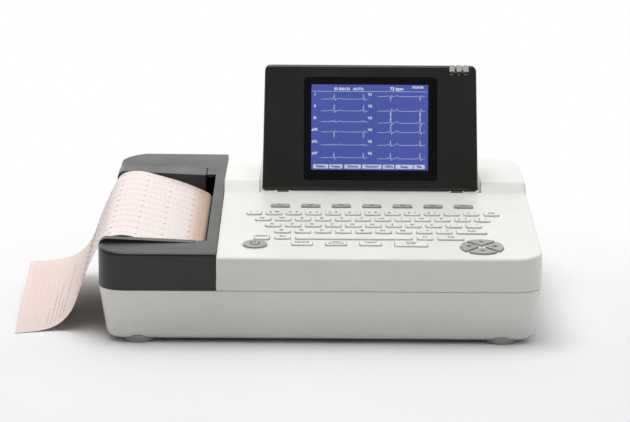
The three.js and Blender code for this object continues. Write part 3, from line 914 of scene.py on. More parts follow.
@dataclass(frozen=True)
class LitSweep(Finish):
    """A matt white sweep of paper that is lit through from behind away from the object.

    Attributes:
        colour: Its colour near the object.
        centre: The place that the distances are taken from, in m.
        near: Distance at which the painted glow starts, in m.
        far: Distance past which only the painted glow shows, in m.
    """

    colour: str = "#f0f0f1"
    centre: tuple[float, float, float] = (0.05, -0.22, 0)
    near: float = 0.3
    far: float = 0.68

    def build(self, tree: bpy.types.NodeTree) -> None:
        """Builds the paper's faint tone and the painted glow that grows with distance."""
        where = object_space(tree)
        away = add_node(
            tree, "ShaderNodeVectorMath", {0: where, 1: self.centre}, operation="DISTANCE"
        )
        reach = add_node(
            tree,
            "ShaderNodeMapRange",
            {0: away.outputs["Value"], 1: self.near, 2: self.far},
            interpolation_type="SMOOTHSTEP",
        ).outputs[0]
        tone = spread(tree, noise(tree, where, 160, 1), 0.99, 1.01)
        paper = add_node(
            tree,
            "ShaderNodeBsdfDiffuse",
            {"Color": mixed(tree, 1.0, linear(self.colour), tone, "MULTIPLY")},
        )
        # Painted light: the emission glows brighter with distance from the object, with no lamp
        # behind the sweep.
        light = add_node(tree, "ShaderNodeEmission", {"Color": linear("#ffffff")})
        both = add_node(
            tree, "ShaderNodeMixShader", {0: reach, 1: paper.outputs[0], 2: light.outputs[0]}
        )
        add_node(tree, "ShaderNodeOutputMaterial", {"Surface": both.outputs[0]})


# The studio's white paper sweep: matt, greyer round the object and pure white beyond, where a
# painted glow takes over.
WHITE_SWEEP = LitSweep("matt_white_sweep")
# White ABS from a fine spark-eroded mould: a clean, slightly warm white with a silky sheen.
WHITE_ABS = MouldedPlastic("moulded_white_abs", "#e9e8e3", roughness=0.42)
# The lower half is the same ABS, a touch greyer: a quiet second tone under the seam.
SILVER_ABS = MouldedPlastic("moulded_pale_grey_abs", "#e8e7e2", roughness=0.44)
# Dark ABS with a fine grain: near black, with a broad soft sheen where light grazes it.
DARK_ABS = MouldedPlastic("moulded_dark_abs", "#272824", roughness=0.33, tone=0.06, ior=1.46)
# The recorder's lid, moulded smoother: the sheen of its top turns a mid grey under the lamp.
SATIN_DARK_ABS = MouldedPlastic(
    "satin_dark_abs", "#2a2b27", roughness=0.3, tone=0.05, grain=1.3, ior=1.46
)
# White silicone keys: a matt, creamy cap whose edges let a little light in.
WHITE_SILICONE = MouldedPlastic(
    "moulded_white_silicone", "#e9e8e2", roughness=0.5, grain=0.6, soft=0.12
)
# Grey silicone keys: a flat mid grey with a soft sheen.
GREY_SILICONE = MouldedPlastic(
    "moulded_grey_silicone", "#a6a6a0", roughness=0.5, grain=0.6, soft=0.05
)
# Black glass-filled nylon of sockets and trays: dull black with a coarser grain.
BLACK_NYLON = MouldedPlastic(
    "black_glass_filled_nylon", "#1b1b1c", roughness=0.55, grain=1.2, depth=0.03
)
# The window's printed border behind acrylic: a deep black under a hard gloss.
BACK_PRINTED_BLACK = MouldedPlastic(
    "back_printed_black_acrylic", "#020203", roughness=0.12, tone=0.01, depth=0.0015
)
# Natural nylon gears: a waxy off-white that glows a little at its teeth.
WHITE_NYLON = MouldedPlastic(
    "natural_nylon", "#e6e2d3", roughness=0.4, grain=0.7, soft=0.2
)
# Milky polycarbonate lamps: pale grey while unlit, with a clear gloss over them.
LAMP_LENS = MouldedPlastic(
    "milky_polycarbonate", "#c9cac4", roughness=0.22, grain=0.8, coat=0.4, soft=0.25
)
# Grey feet: matt rubber that holds a little dust.
FOOT_RUBBER = Rubber("grey_foot_rubber", "#b3b1aa")
# The platen's ground rubber: matt black with a fine bloom.
PLATEN_RUBBER = Rubber("ground_platen_rubber", "#29292a", roughness=0.75)
# Nickel-plated steel of shafts, brackets and socket shells: a cool, finely drawn grey.
NICKELLED_STEEL = Metal("nickelled_steel", "#b9b8b4")
# Black zinc on steel screws: dark, with a dull metal sheen on the worn rims.
BLACK_ZINC = Metal("black_zinc_steel", "#56565a", roughness=0.4, marks=(1, 1, 1))
# Turned brass: warm yellow with rings from the cutter.
TURNED_BRASS = Metal("turned_brass", "#c9a655", roughness=0.28, marks=(0.6, 6, 0.6))
CIRCUIT_BOARD = CircuitBoard("solder_masked_board")
CHART_PAPER = ChartPaper("thermal_chart_paper")
CLEAR_ACRYLIC = ClearAcrylic("clear_cast_acrylic")
# The screen's blue ground: an even violet-blue light.
SCREEN_BLUE = Glow("screen_backlight", "#4a58a8")
# The screen's picture: cool white dots, a little softened by the panel.
SCREEN_WHITE = Glow("screen_picture", "#dfe3f6", drift=0.02)
# Labels over the soft keys: pale boxes with dark words.
SCREEN_PALE = Glow("screen_key_labels", "#cfd3e6", drift=0.02)
SCREEN_DARK = Glow("screen_key_words", "#23264a", drift=0.02)
# Legends on the keys: a soft black pad print.
KEY_INK = Ink("pad_printed_black", "#181817")
# Legends on dark plastic: a light grey pad print.
PALE_INK = Ink("pad_printed_grey", "#b9b9b4")
# The strip's traces: black dots burnt into the thermal coat.
THERMAL_BLACK = Ink("thermal_black", "#453b40", roughness=0.6)
# The traces' baselines: single rows of dots, too thin to look more than a pale grey.
THERMAL_GREY = Ink("thermal_grey", "#e6d3ce", roughness=0.6)


# ---- pieces ----


def show(
    piece: bpy.types.Object,
    body: str,
    finishes: Sequence[Finish],
    stands_for: Sequence[str] = (),
) -> bpy.types.Object:
    """Dresses a piece and fixes it to a body.

    Args:
        piece: The piece.
        body: The CAD body it moves with.
        finishes: Finishes for its material slots.
        stands_for: CAD nodes it replaces.

    Returns:
        The piece.
    """
    if not piece.data.materials:
        for finish in finishes:
            piece.data.materials.append(finish.material())
    if stands_for:
        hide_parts(*stands_for)
    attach(piece, body)
    log.info("%s on %s, %d faces", piece.name, body, len(piece.data.polygons))
    return piece


def refine(
    node: str,
    name: str,
    finish: Finish,
    slot: str,
    radius: float = 0.3,
    angle: float = 30,
    segments: int = 2,
    rounds: Sequence[tuple[float, Callable[[bmesh.types.BMEdge], bool]]] = (),
) -> bpy.types.Object:
    """Makes a finished piece from a CAD node whose shape is right.

    Args:
        node: The CAD node.
        name: Name of the piece.
        finish: Its finish.
        slot: The record's material slot for the piece; not used.
        radius: Width of its softened edges, in mm.
        angle: Least angle of an edge that is softened, in degrees.
        segments: Faces across a softened edge.
        rounds: Larger roundings, each a radius in mm and a test for its edges.

    Returns:
        The piece.
    """
    piece = merged_copy(node, name)
    for size, test in rounds:
        round_edges(piece, size, test)
    soften(piece, radius, angle, segments)
    return show(piece, BODY_OF[node], [finish], [node])


def middle(edge: bmesh.types.BMEdge) -> Vector:
    """Returns the middle of an edge."""
    return (edge.verts[0].co + edge.verts[1].co) / 2


@dataclass
class Casing:
    """The off-white housing, its feet, hatch, panels and the works inside it.

    Attributes:
        half_width: Half the casing's width, in mm.
        half_depth: Half its depth, in mm.
        corner: Radius of its corners in plan, in mm.
        deck_edge: Radius of the rounding round the deck, in mm.
    """

    half_width: float = 210
    half_depth: float = CASING_HALF_DEPTH
    corner: float = 25
    deck_edge: float = 3.2

    def on_outline(self, point: Vector) -> bool:
        """Tells whether a row frame point lies on the casing's outline in plan."""
        x = abs(point.x / MM - CASING_X) - (self.half_width - self.corner)
        y = abs(point.y / MM) - (self.half_depth - self.corner)
        return math.hypot(max(x, 0), max(y, 0)) > self.corner - 0.6

    def deck_rim(self, edge: bmesh.types.BMEdge) -> bool:
        """Tells whether an edge runs round the outside of the deck."""
        ups = sorted(face.normal.z for face in edge.link_faces)
        height = middle(edge).z / MM
        return (
            ups[0] < 0.2
            and ups[1] > 0.6
            and height > 83
            and abs(height - 92) > 0.5
            and self.on_outline(middle(edge))
        )

    def build_shell(self) -> None:
        """Builds both halves of the housing and the recorder's frame."""
        rim = [(self.deck_edge, self.deck_rim)]
        refine("upper_casing", "upper_housing", WHITE_ABS, "white_casing", 0.3, 50, 2, rim)
        refine("lower_casing", "lower_housing", SILVER_ABS, "silver_casing", 0.5, 50, 3)
        refine("recorder_frame", "recorder_surround", DARK_ABS, "dark_casing", 0.3, 50, 2, rim)
        refine("battery_door", "battery_hatch", SILVER_ABS, "silver_casing", 0.5)

    def build_feet(self) -> None:
        """Builds the four rubber feet."""
        for end in ("front_left", "front_right", "rear_left", "rear_right"):
            refine(f"foot_{end}", f"rubber_foot_{end}", FOOT_RUBBER, "foot_rubber", 0.6)

    def build_panels(self) -> None:
        """Builds the sockets on the rear and right sides."""
        for row in (
            ("mains_inlet", "appliance_inlet", BLACK_NYLON, "black_plastic", 0.25),
            ("mains_switch", "rocker_switch", BLACK_NYLON, "black_plastic", 0.4),
            ("earth_terminal", "earthing_post", TURNED_BRASS, "brass", 0.25),
            ("patient_socket", "patient_lead_socket", NICKELLED_STEEL, "steel", 0.25),
            ("data_port_panel", "port_panel", BLACK_NYLON, "black_plastic", 0.25),
        ):
            refine(*row)

    def build_works(self) -> None:
        """Builds the boards, supply, battery and drive inside the housing."""
        for row in (
            ("main_board", "main_circuit_board", CIRCUIT_BOARD, "circuit_board", 0.1),
            ("keypad_board", "keypad_circuit_board", CIRCUIT_BOARD, "circuit_board", 0.1),
            ("power_supply", "supply_can", NICKELLED_STEEL, "steel", 0.4),
            ("battery_pack", "battery_block", BLACK_NYLON, "black_plastic", 0.8),
            ("print_head", "thermal_print_head", BLACK_NYLON, "black_plastic", 0.2),
            ("stepper_motor", "drive_motor", NICKELLED_STEEL, "steel", 0.3),
            ("motor_pinion", "drive_pinion", TURNED_BRASS, "brass", 0.08),
        ):
            refine(*row)
        for side in ("left", "right"):
            refine(f"hinge_bracket_{side}", f"hinge_post_{side}", NICKELLED_STEEL, "steel", 0.05)

    def build(self) -> None:
        """Builds the whole casing."""
        self.build_shell()
        self.build_feet()
        self.build_panels()
        self.build_works()


@dataclass
class Recorder:
    """The dark recorder: its lid, latches, platen, roll and the printed strip.

    Attributes:
        route: The strip's line in x and n, from the slot to its end, in mm.
        front: The strip's front edge along the slope, in mm.
        rear: The strip's rear edge along the slope, in mm.
        stray_from: Place in x past which the hanging strip strays, in mm.
        forward: How far its end strays forward, in mm.
        turn: How far the end's rear corner swings out, in mm.
        thickness: Thickness of the paper, in mm.
        beat: Length of one printed heartbeat, in mm.
        channels: Number of printed traces.
    """

    route: tuple[tuple[float, float], ...] = (
        (-112.9, -24.5),
        (-114.5, -20.5),
        (-124.5, -15),
        (-145, -6.9),
        (-171, 0.6),
        (-187, 4),
        (-199, 3),
        (-206.3, -0.1),
        (-211.8, -8),
        (-219, -22),
        (-226.5, -40),
        (-232.5, -57.5),
        (-238.5, -71.5),
        (-247, -82),
        (-258, -88.5),
        (-272, -90.9),
        (-292, -90.9),
    )
    front: float = 41.5
    rear: float = 251.5
    stray_from: float = -212
    forward: float = 15
    turn: float = 10
    thickness: float = 0.2
    beat: float = 25
    channels: int = 12

    def __post_init__(self) -> None:
        """Measures the strip's line."""
        self.line = self.smooth_line(24)
        self.along = [0.0]
        for a, b in zip(self.line, self.line[1:]):
            self.along.append(self.along[-1] + (b - a).length)
        self.length = self.along[-1]

    def smooth_line(self, steps: int) -> list[Vector]:
        """Gives the curve through the route's points.

        Args:
            steps: Points between two points of the route.

        Returns:
            Points in x and n, in mm.
        """
        places = [Vector(place) for place in self.route]
        ends = [places[0], *places, places[-1]]
        line = []
        for before, start, end, after in zip(ends, ends[1:], ends[2:], ends[3:]):
            leave, arrive = (end - before) / 2, (after - start) / 2
            for step in range(steps):
                t = step / steps
                line.append(
                    (2 * t**3 - 3 * t**2 + 1) * start
                    + (t**3 - 2 * t**2 + t) * leave
                    + (3 * t**2 - 2 * t**3) * end
                    + (t**3 - t**2) * arrive
                )
        return [*line, places[-1]]

    def on_strip(self, distance: float, across: float, raised: float = 0) -> Vector:
        """Gives a point of the strip.

        Args:
            distance: Distance from the slot along the strip, in mm.
            across: Place along the slope, in mm.
            raised: Height over the printed side, in mm.

        Returns:
            The point in the recorder's frame, in mm.
        """
        at = min(max(distance, 0), self.length)
        index = max(i for i, reached in enumerate(self.along[:-1]) if reached <= at)
        start, end = self.line[index], self.line[index + 1]
        run = (end - start).normalized()
        place = start + run * (at - self.along[index])
        point = Vector((place.x + run.y * raised, across, place.y - run.x * raised))
        hang = max(0, (self.stray_from - point.x) / (self.stray_from - self.route[-1][0])) ** 2
        point.x -= self.turn * hang * (across - self.front) / (self.rear - self.front)
        point.y -= self.forward * hang
        return point

    def build_lid(self) -> None:
        """Builds the sliding lid and its two latches."""
        refine("recorder_cover", "recorder_lid", SATIN_DARK_ABS, "dark_casing", 0.6, 40, 3)
        for name in ("front", "rear"):
            refine(f"{name}_latch", f"lid_latch_{name}", GREY_SILICONE, "grey_key", 0.4)

    def build_drive(self) -> None:
        """Builds the platen, its gear and the roll in its tray."""
        refine("platen_roller", "platen_sleeve", PLATEN_RUBBER, "roller_rubber", 0.2)
        refine("platen_shaft", "platen_axle", NICKELLED_STEEL, "steel", 0.2)
        refine("platen_gear", "platen_drive_gear", WHITE_NYLON, "white_key", 0.08)
        refine("paper_tray", "roll_tray", BLACK_NYLON, "black_plastic", 0.3)
        refine("paper_spindle", "roll_spindle", WHITE_NYLON, "black_plastic", 0.3)
        low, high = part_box("paper_roll")
        centre = ((low.x + high.x) / 2, (low.z + high.z) / 2)
        refine("paper_roll", "wound_roll", WoundPaper("wound_paper", centre), "paper", 0.2)

    def build_strip(self) -> bpy.types.Object:
        """Builds the chart strip as one bent sheet with its length and width mapped in mm.

        Returns:
            The strip.
        """
        across, lengthwise = 12, 96
        bpy.ops.object.select_all(action="DESELECT")
        bpy.ops.mesh.primitive_grid_add(
            x_subdivisions=across, y_subdivisions=lengthwise, size=1, calc_uvs=True
        )
        strip = bpy.context.active_object
        strip.name = strip.data.name = "chart_strip"
        width = self.rear - self.front
        for corner in strip.data.uv_layers.active.data:
            corner.uv = (corner.uv.x * width, corner.uv.y * self.length)
        for vertex in strip.data.vertices:
            place = self.on_strip(
                (vertex.co.y + 0.5) * self.length, self.front + (vertex.co.x + 0.5) * width
            )
            vertex.co = place
        settle(strip, RECORDER)
        apply_modifier(strip, "SOLIDIFY", thickness=self.thickness * MM, offset=0)
        activate(strip)
        bpy.ops.object.shade_smooth_by_angle(angle=math.radians(40))
        return show(strip, "recorder_cover", [CHART_PAPER], ["paper_sheet"])

    def beat_height(self, phase: float, channel: int) -> float:
        """Gives a trace's height over its baseline.

        Args:
            phase: Place in the heartbeat, 0 to 1.
            channel: The trace's number, which sets its shape.

        Returns:
            The height in mm.
        """
        tall = (7, 9, 4, -7, 3, 6, -6, 8, 10, 9, 8, 6)[channel]
        waves = ((0.2, 0.03, 0.9), (0.36, 0.012, tall), (0.39, 0.012, -tall * 0.3))
        late = (0.62, 0.05, 1.8 if tall > 0 else -1.2)
        return 0.7 * sum(
            size * math.exp(-(((phase - at) / wide) ** 2)) for at, wide, size in (*waves, late)
        )

    def build_print(self) -> list[bpy.types.Object]:
        """Builds the printed traces and their lead names.

        Returns:
            The print's pieces.
        """
        pitch = (self.rear - self.front - 20) / (self.channels - 1)
        rows = [self.front + 10 + pitch * channel for channel in range(self.channels)]
        first, last = 12, self.length - 44
        starts = [first + self.beat * i for i in range(int((last - first) / self.beat))]
        lines = [
            self.traced(first, last - first, 1.0, row, channel) for channel, row in enumerate(rows)
        ]
        beats = [
            self.traced(start + 0.335 * self.beat, 0.07 * self.beat, 0.25, row, channel)
            for channel, row in enumerate(rows)
            for start in starts
        ]
        marks = [
            [self.on_strip(last + 4 * column, at + end, 0.15) for end in (0, 1.3)]
            for column, reach in enumerate((0.9, 0.35, 0.6, 0.45, 0.25))
            for at in self.words_across(reach, column)
        ]
        return [
            show(strokes(lines, 0.16, RECORDER, "chart_traces"), "recorder_cover", [THERMAL_GREY]),
            show(strokes(beats, 0.5, RECORDER, "chart_beats"), "recorder_cover", [THERMAL_BLACK]),
            show(strokes(marks, 0.5, RECORDER, "chart_notes"), "recorder_cover", [THERMAL_BLACK]),
        ]

    def words_across(self, reach: float, column: int) -> list[float]:
        """Gives the places of a line of small print across the strip.

        Args:
            reach: Share of the strip's width that the line fills.
            column: The line's number, which sets where its gaps fall.

        Returns:
            The places, in mm along the slope.
        """
        count = int(reach * (self.rear - self.front - 30) / 2.6)
        return [self.front + 12 + 2.6 * i for i in range(count) if (i * 7 + column * 3) % 5]

    def traced(
        self, start: float, reach: float, step: float, row: float, channel: int
    ) -> list[Vector]:
        """Gives a stretch of one trace.

        Args:
            start: Distance from the slot at which it starts, in mm.
            reach: Its length along the strip, in mm.
            step: Distance between its points, in mm.
            row: Place of its baseline across the strip, in mm.
            channel: The trace's number.

        Returns:
            The stretch's points in the recorder's frame, in mm.
        """
        return [
            self.on_strip(
                start + i * step,
                row - self.beat_height((start - 34 + i * step) / self.beat % 1, channel),
                self.thickness / 2 + 0.05,
            )
            for i in range(int(reach / step) + 1)
        ]

    def build(self) -> None:
        """Builds the whole recorder."""
        self.build_lid()
        self.build_drive()
        strip = self.build_strip()
        printed = self.build_print()


@dataclass
class Display:
    """The fold-down display with its window, picture and status lamps.

    Attributes:
        left, right, top, bottom: Limits of the housing's face, in mm.
        face_edge: Radius of the rounding round the face, in mm.
        hinge_top: Height up the face under which the hinges are, in mm.
        view: The picture's left, right, bottom and top, in mm.
        glass: Depth of the picture behind the face, in mm.
    """

    left: float = -59.2
    right: float = 160.8
    bottom: float = 2.4
    top: float = 131
    face_edge: float = 3.4
    hinge_top: float = 16
    view: tuple[float, float, float, float] = (-9.5, 109.7, 23.3, 110.7)
    glass: float = 2.95

    def face_rim(self, edge: bmesh.types.BMEdge) -> bool:
        """Tells whether an edge runs round the outside of the display's face."""
        outward = (DISPLAY.to_3x3() @ Vector((0, -1, 0))).normalized()
        facing = sorted(abs(face.normal.dot(outward)) for face in edge.link_faces)
        front = max(face.normal.dot(outward) for face in edge.link_faces)
        place = local(DISPLAY, middle(edge))
        inside = min(
            place.x - self.left, self.right - place.x, place.z - self.bottom, self.top - place.z
        )
        return facing[0] < 0.3 and front > 0.9 and place.y < 0.3 and inside < 3.2

    def rear_edge(self, edge: bmesh.types.BMEdge) -> bool:
        """Tells whether an edge is an outer one of the display's back, above its hinges."""
        clear = local(DISPLAY, middle(edge)).z > self.hinge_top
        return clear and edge.is_convex and edge.calc_face_angle() > 0.7

    def at(self, across: float, up: float) -> tuple[float, float]:
        """Returns the point in mm that is a share across and up the picture."""
        left, right, bottom, top = self.view
        return left + across * (right - left), bottom + up * (top - bottom)

    def build_housing(self) -> None:
        """Builds the front, the back and the hinge pins."""
        front = merged_copy("display_bezel", "display_front")
        middle_x, middle_z = (self.view[0] + self.view[1]) / 2, (self.view[2] + self.view[3]) / 2
        slice_faces(front, DISPLAY, [((middle_x, 0, 0), (1, 0, 0)), ((0, 0, middle_z), (0, 0, 1))])
        round_edges(front, self.face_edge, self.face_rim)
        soften(front, 0.3, 50)
        show(front, "display", [DARK_ABS], ["display_bezel"])
        rear = merged_copy("display_back", "display_rear")
        round_edges(rear, 0.8, self.rear_edge, 3)
        even_shading(rear)
        show(rear, "display", [DARK_ABS], ["display_back"])
        for side in ("left", "right"):
            refine(f"hinge_pin_{side}", f"hinge_rod_{side}", NICKELLED_STEEL, "steel", 0.15)

    def build_window(self) -> None:
        """Builds the acrylic window, clear over the picture and black round it."""
        pane = merged_copy("display_window", "screen_window")
        left, right, bottom, top = self.view
        cuts = [((left, 0, 0), (1, 0, 0)), ((right, 0, 0), (1, 0, 0))]
        cuts += [((0, 0, bottom), (0, 0, 1)), ((0, 0, top), (0, 0, 1))]
        slice_faces(pane, DISPLAY, cuts)
        for finish in (BACK_PRINTED_BLACK, CLEAR_ACRYLIC):
            pane.data.materials.append(finish.material())
        for face in pane.data.polygons:
            place = local(DISPLAY, face.center)
            seen = left < place.x < right and bottom < place.z < top
            face.material_index = 1 if seen else 0
        show(pane, "display", [], ["display_window"])

    def trace(
        self, start: float, base: float, waves: Sequence[tuple[float, float, float]]
    ) -> list[Vector]:
        """Gives one lead's trace on the screen.

        Args:
            start: Share of the picture's width at which it starts.
            base: Share of the picture's height at its baseline.
            waves: Each wave's place in the beat, width and height in mm.

        Returns:
            The trace's points in the screen's plane, in mm.
        """
        x0, y0 = self.at(start, base)
        length, beat, first = 48.5, 30, 7.5
        points = []
        for i in range(162):
            x = i * length / 161
            phase = ((x - first) / beat) % 1
            rise = sum(size * math.exp(-(((phase - at) / wide) ** 2)) for at, wide, size in waves)
            points.append(Vector((x0 + x, y0 + rise, 0)))
        return points

    def build_picture(self) -> None:
        """Builds the lit panel with twelve traces, their names, the header and the soft keys."""
        refine("lcd_panel", "screen_panel", SCREEN_BLUE, "lcd", 0.1)
        plane = SCREEN @ Matrix.Translation((0, 0, -self.glass * MM))
        left_leads = (
            ("I", 0.83, 6.0),
            ("II", 0.692, 7.4),
            ("III", 0.565, 2.0),
            ("aVR", 0.445, -7.0),
            ("aVL", 0.293, 1.4),
            ("aVF", 0.144, 5.8),
        )
        right_leads = (
            ("V1", 0.865, -5.5),
            ("V2", 0.692, -11.0),
            ("V3", 0.552, 11.5),
            ("V4", 0.442, 9.0),
            ("V5", 0.293, 6.0),
            ("V6", 0.134, 7.2),
        )
        lines, names = [], []
        for column, (leads, start, name_at) in enumerate(
            ((left_leads, 0.082, 0.03), (right_leads, 0.566, 0.503))
        ):
            for row, (name, base, tall) in enumerate(leads):
                waves = (
                    (0.1, 0.03, 0.7),
                    (0.2, 0.012, tall),
                    (0.235, 0.014, -tall * 0.28),
                    (0.42, 0.045, 1.1 if column == 0 or row == 0 else 1.9),
                )
                lines.append(self.trace(start, base, waves))
                x, y = self.at(name_at, 0.885 - 0.138 * row)
                names.append(Legend(name, x, y, 2.7))
        lines.append([Vector((*self.at(0.0, 0.921), 0)), Vector((*self.at(0.995, 0.921), 0))])
        x, y = self.at(0.32, 0.948)
        names.append(Legend("ID 000123   AUTO", x, y, 2.7))
        x, y = self.at(0.73, 0.952)
        names.append(Legend("72 bpm", x, y, 3.2))
        x, y = self.at(0.91, 0.972)
        names.append(Legend("10:24:36", x, y, 2.5))
        show(strokes(lines, 0.3, plane, "screen_traces"), "display", [SCREEN_WHITE])
        show(lettering(names, plane, 0.1, "screen_words"), "display", [SCREEN_WHITE])
        self.build_soft_keys(plane)

    def build_soft_keys(self, plane: Matrix) -> None:
        """Builds the row of labels over the function keys.

        Args:
            plane: The picture's plane.
        """
        spans = (
            ("Patient", 0.018, 0.146),
            ("Freeze", 0.156, 0.268),
            ("25mm/s", 0.286, 0.426),
            ("10mm/mV", 0.438, 0.602),
            ("100Hz", 0.614, 0.712),
            ("Setup", 0.724, 0.87),
            ("File", 0.878, 0.973),
        )
        boxes, words = [], []
        for text, start, end in spans:
            x0, y0 = self.at(start, 0.018)
            x1, y1 = self.at(end, 0.066)
            boxes.append(block((x0, y0, -0.3), (x1, y1, 0.08), "label", plane, 0.1))
            words.append(Legend(text, (x0 + x1) / 2, (y0 + y1) / 2, 2.4))
        show(joined(boxes, "screen_key_boxes"), "display", [SCREEN_PALE])
        show(lettering(words, plane, 0.12, "screen_key_names"), "display", [SCREEN_DARK])

    def build_lamps(self) -> None:
        """Builds the status lamps at the top corner and the signs under them."""
        refine("status_light_bar", "status_lamps", LAMP_LENS, "lamp", 0.35, 40)
        signs = [
            [Vector((132.2, 121.3, 0)), Vector((134.4, 121.3, 0))],
            [Vector((140.3, 120.2, 0)), Vector((141.4, 122.4, 0))],
            [Vector((146.4, 121.3, 0)), Vector((149.6, 121.3, 0))],
        ]
        show(strokes(signs, 0.45, SCREEN, "lamp_signs"), "display", [PALE_INK])

    def build(self) -> None:
        """Builds the whole display."""
        self.build_housing()
        self.build_window()
        self.build_picture()
        self.build_lamps()


@dataclass
class Fittings:
    """Small bought-in and moulded details: screws, contacts and the air grille.

    Attributes:
        face: The right side panel's place in x, in mm.
        back: The casing's rear face in y, in mm.
        screw: Radius of a screw's head, in mm.
        contact_pitch: Distance between two of the lead socket's contacts, in mm.
        contact_rows: The number, first y and z of the contacts in each row, in mm.
        wire: How far inside the face and how high each point of a network contact is, in mm.
        ribs: First and last limit and pitch of the grille's ribs in x, in mm.
        rails: Heights of the grille's two rails, in mm.
        proud: How far the grille stands out of the rear face, in mm.
        sunk: How far details reach into the face they sit on, in mm.
    """

    face: float = 209.7
    back: float = 330
    screw: float = 2.9
    contact_pitch: float = 3.1
    contact_rows: tuple[tuple[int, float, float], ...] = ((8, 129.2, 66.6), (7, 130.75, 63.4))
    wire: tuple[tuple[float, float], ...] = ((12, 70.6), (5, 70.2), (9, 67))
    ribs: tuple[int, int, int] = (22, 132, 6)
    rails: tuple[float, float] = (58.4, 84.2)
    proud: float = 0.9
    sunk: float = 0.4

    def screw_head(self) -> bpy.types.Object:
        """Models a cross-recessed pan head on its seat, facing z.

        Returns:
            The head, in mm.
        """
        bpy.ops.object.select_all(action="DESELECT")
        bpy.ops.mesh.primitive_cylinder_add(
            vertices=28, radius=self.screw, depth=1.6, location=(0, 0, 0.2)
        )
        head = bpy.context.active_object
        bpy.ops.object.transform_apply(location=True, rotation=True, scale=True)
        pick(head, edges=lambda edge: min(v.co.z for v in edge.verts) > 0.9)
        bpy.ops.mesh.bevel(offset=0.55, segments=4, affect="EDGES")
        close_edit()
        for size in ((3.4, 0.75, 1.4), (0.75, 3.4, 1.4)):
            bpy.ops.object.select_all(action="DESELECT")
            bpy.ops.mesh.primitive_cube_add(size=1, location=(0, 0, 0.9), scale=size)
            cutter = bpy.context.active_object
            apply_modifier(head, "BOOLEAN", operation="DIFFERENCE", object=cutter)
            bpy.data.objects.remove(cutter)
        even_shading(head)
        return head

    def copies(
        self, master: bpy.types.Object, placings: Iterable[Matrix], name: str
    ) -> bpy.types.Object:
        """Sets copies of a small part at several places and joins them into one piece.

        Args:
            master: The part, modelled in mm; it is used up.
            placings: Matrix of each copy, to the row frame.
            name: Name of the piece.

        Returns:
            The piece.
        """
        made = []
        for placing in placings:
            copy = bpy.data.objects.new(name, master.data.copy())
            bpy.context.scene.collection.objects.link(copy)
            made.append(settle(copy, placing))
        bpy.data.objects.remove(master)
        return joined(made, name)

    def build_screws(self) -> None:
        """Builds the four screws in the display's back."""
        outward = Matrix.Rotation(math.radians(-90), 4, "X")
        spots = [(x, z) for x in (-49, 151) for z in (22, 120)]
        placings = [
            DISPLAY @ Matrix.Translation(Vector((x, 20, z)) * MM) @ outward for x, z in spots
        ]
        piece = self.copies(self.screw_head(), placings, "display_screws")
        show(piece, "display", [BLACK_ZINC])

    def build_patient_contacts(self) -> None:
        """Builds the lead socket's insulator and its fifteen contacts."""
        low = (self.face - self.sunk, 125.2, 61.7)
        high = (self.face + 0.15, 154.8, 68.3)
        plate = block(low, high, "lead_insulator", CASING, 0.3)
        show(plate, "casing", [BLACK_NYLON])
        bpy.ops.object.select_all(action="DESELECT")
        bpy.ops.mesh.primitive_cylinder_add(vertices=14, radius=0.75, depth=0.6)
        ring = bpy.context.active_object
        pick(ring, faces=lambda face: face.normal.z > 0.9)
        bpy.ops.mesh.inset(thickness=0.32)
        bpy.ops.transform.translate(value=(0, 0, -0.45))
        close_edit()
        outward = Matrix.Rotation(math.radians(90), 4, "Y")
        spots = [
            (first + self.contact_pitch * i, z)
            for count, first, z in self.contact_rows
            for i in range(count)
        ]
        placings = [
            CASING @ Matrix.Translation(Vector((self.face + 0.1, y, z)) * MM) @ outward
            for y, z in spots
        ]
        show(self.copies(ring, placings, "lead_contacts"), "casing", [TURNED_BRASS])

    def build_port_contacts(self) -> None:
        """Builds the contact wires of the network port and the tongues of the two USB ports."""
        wires = [
            [Vector((self.face - depth, y, z)) for depth, z in self.wire]
            for y in (187.4 + 1.02 * i for i in range(8))
        ]
        show(strokes(wires, 0.5, CASING, "network_contacts"), "casing", [TURNED_BRASS])
        tongues = []
        for y in (212, 236):
            low = (self.face - 12.5, y + 1.6, 65.4)
            high = (self.face - 1.5, y + 11.6, 67)
            tongues.append(block(low, high, "tongue", CASING, 0.25))
        show(joined(tongues, "usb_tongues"), "casing", [WHITE_NYLON])

    def build_grille(self) -> None:
        """Builds the air grille on the rear face: ribs over a dark screen."""
        inner, outer = self.back - self.sunk, self.back + self.proud
        screen = block((24, inner, 60), (132, self.back + 0.12, 85), "grille_screen", CASING, 0.1)
        show(screen, "casing", [BLACK_NYLON])
        ribs = [
            block((x, inner, 59), (x + 3.6, outer, 86), "rib", CASING, 0.35)
            for x in range(*self.ribs)
        ]
        ribs += [
            block((21.5, inner, z), (133.8, outer, z + 2.4), "rail", CASING, 0.35)
            for z in self.rails
        ]
        show(joined(ribs, "grille_ribs"), "casing", [WHITE_ABS])

    def build(self) -> None:
        """Builds all the small details."""
        self.build_screws()
        self.build_patient_contacts()
        self.build_port_contacts()
        self.build_grille()


class KeyTone(Enum):
    """The two colours of key silicone, each with its record slot."""

    WHITE = "white_key"
    GREY = "grey_key"

    @property
    def finish(self) -> Finish:
        """The silicone's finish."""
        return WHITE_SILICONE if self is KeyTone.WHITE else GREY_SILICONE


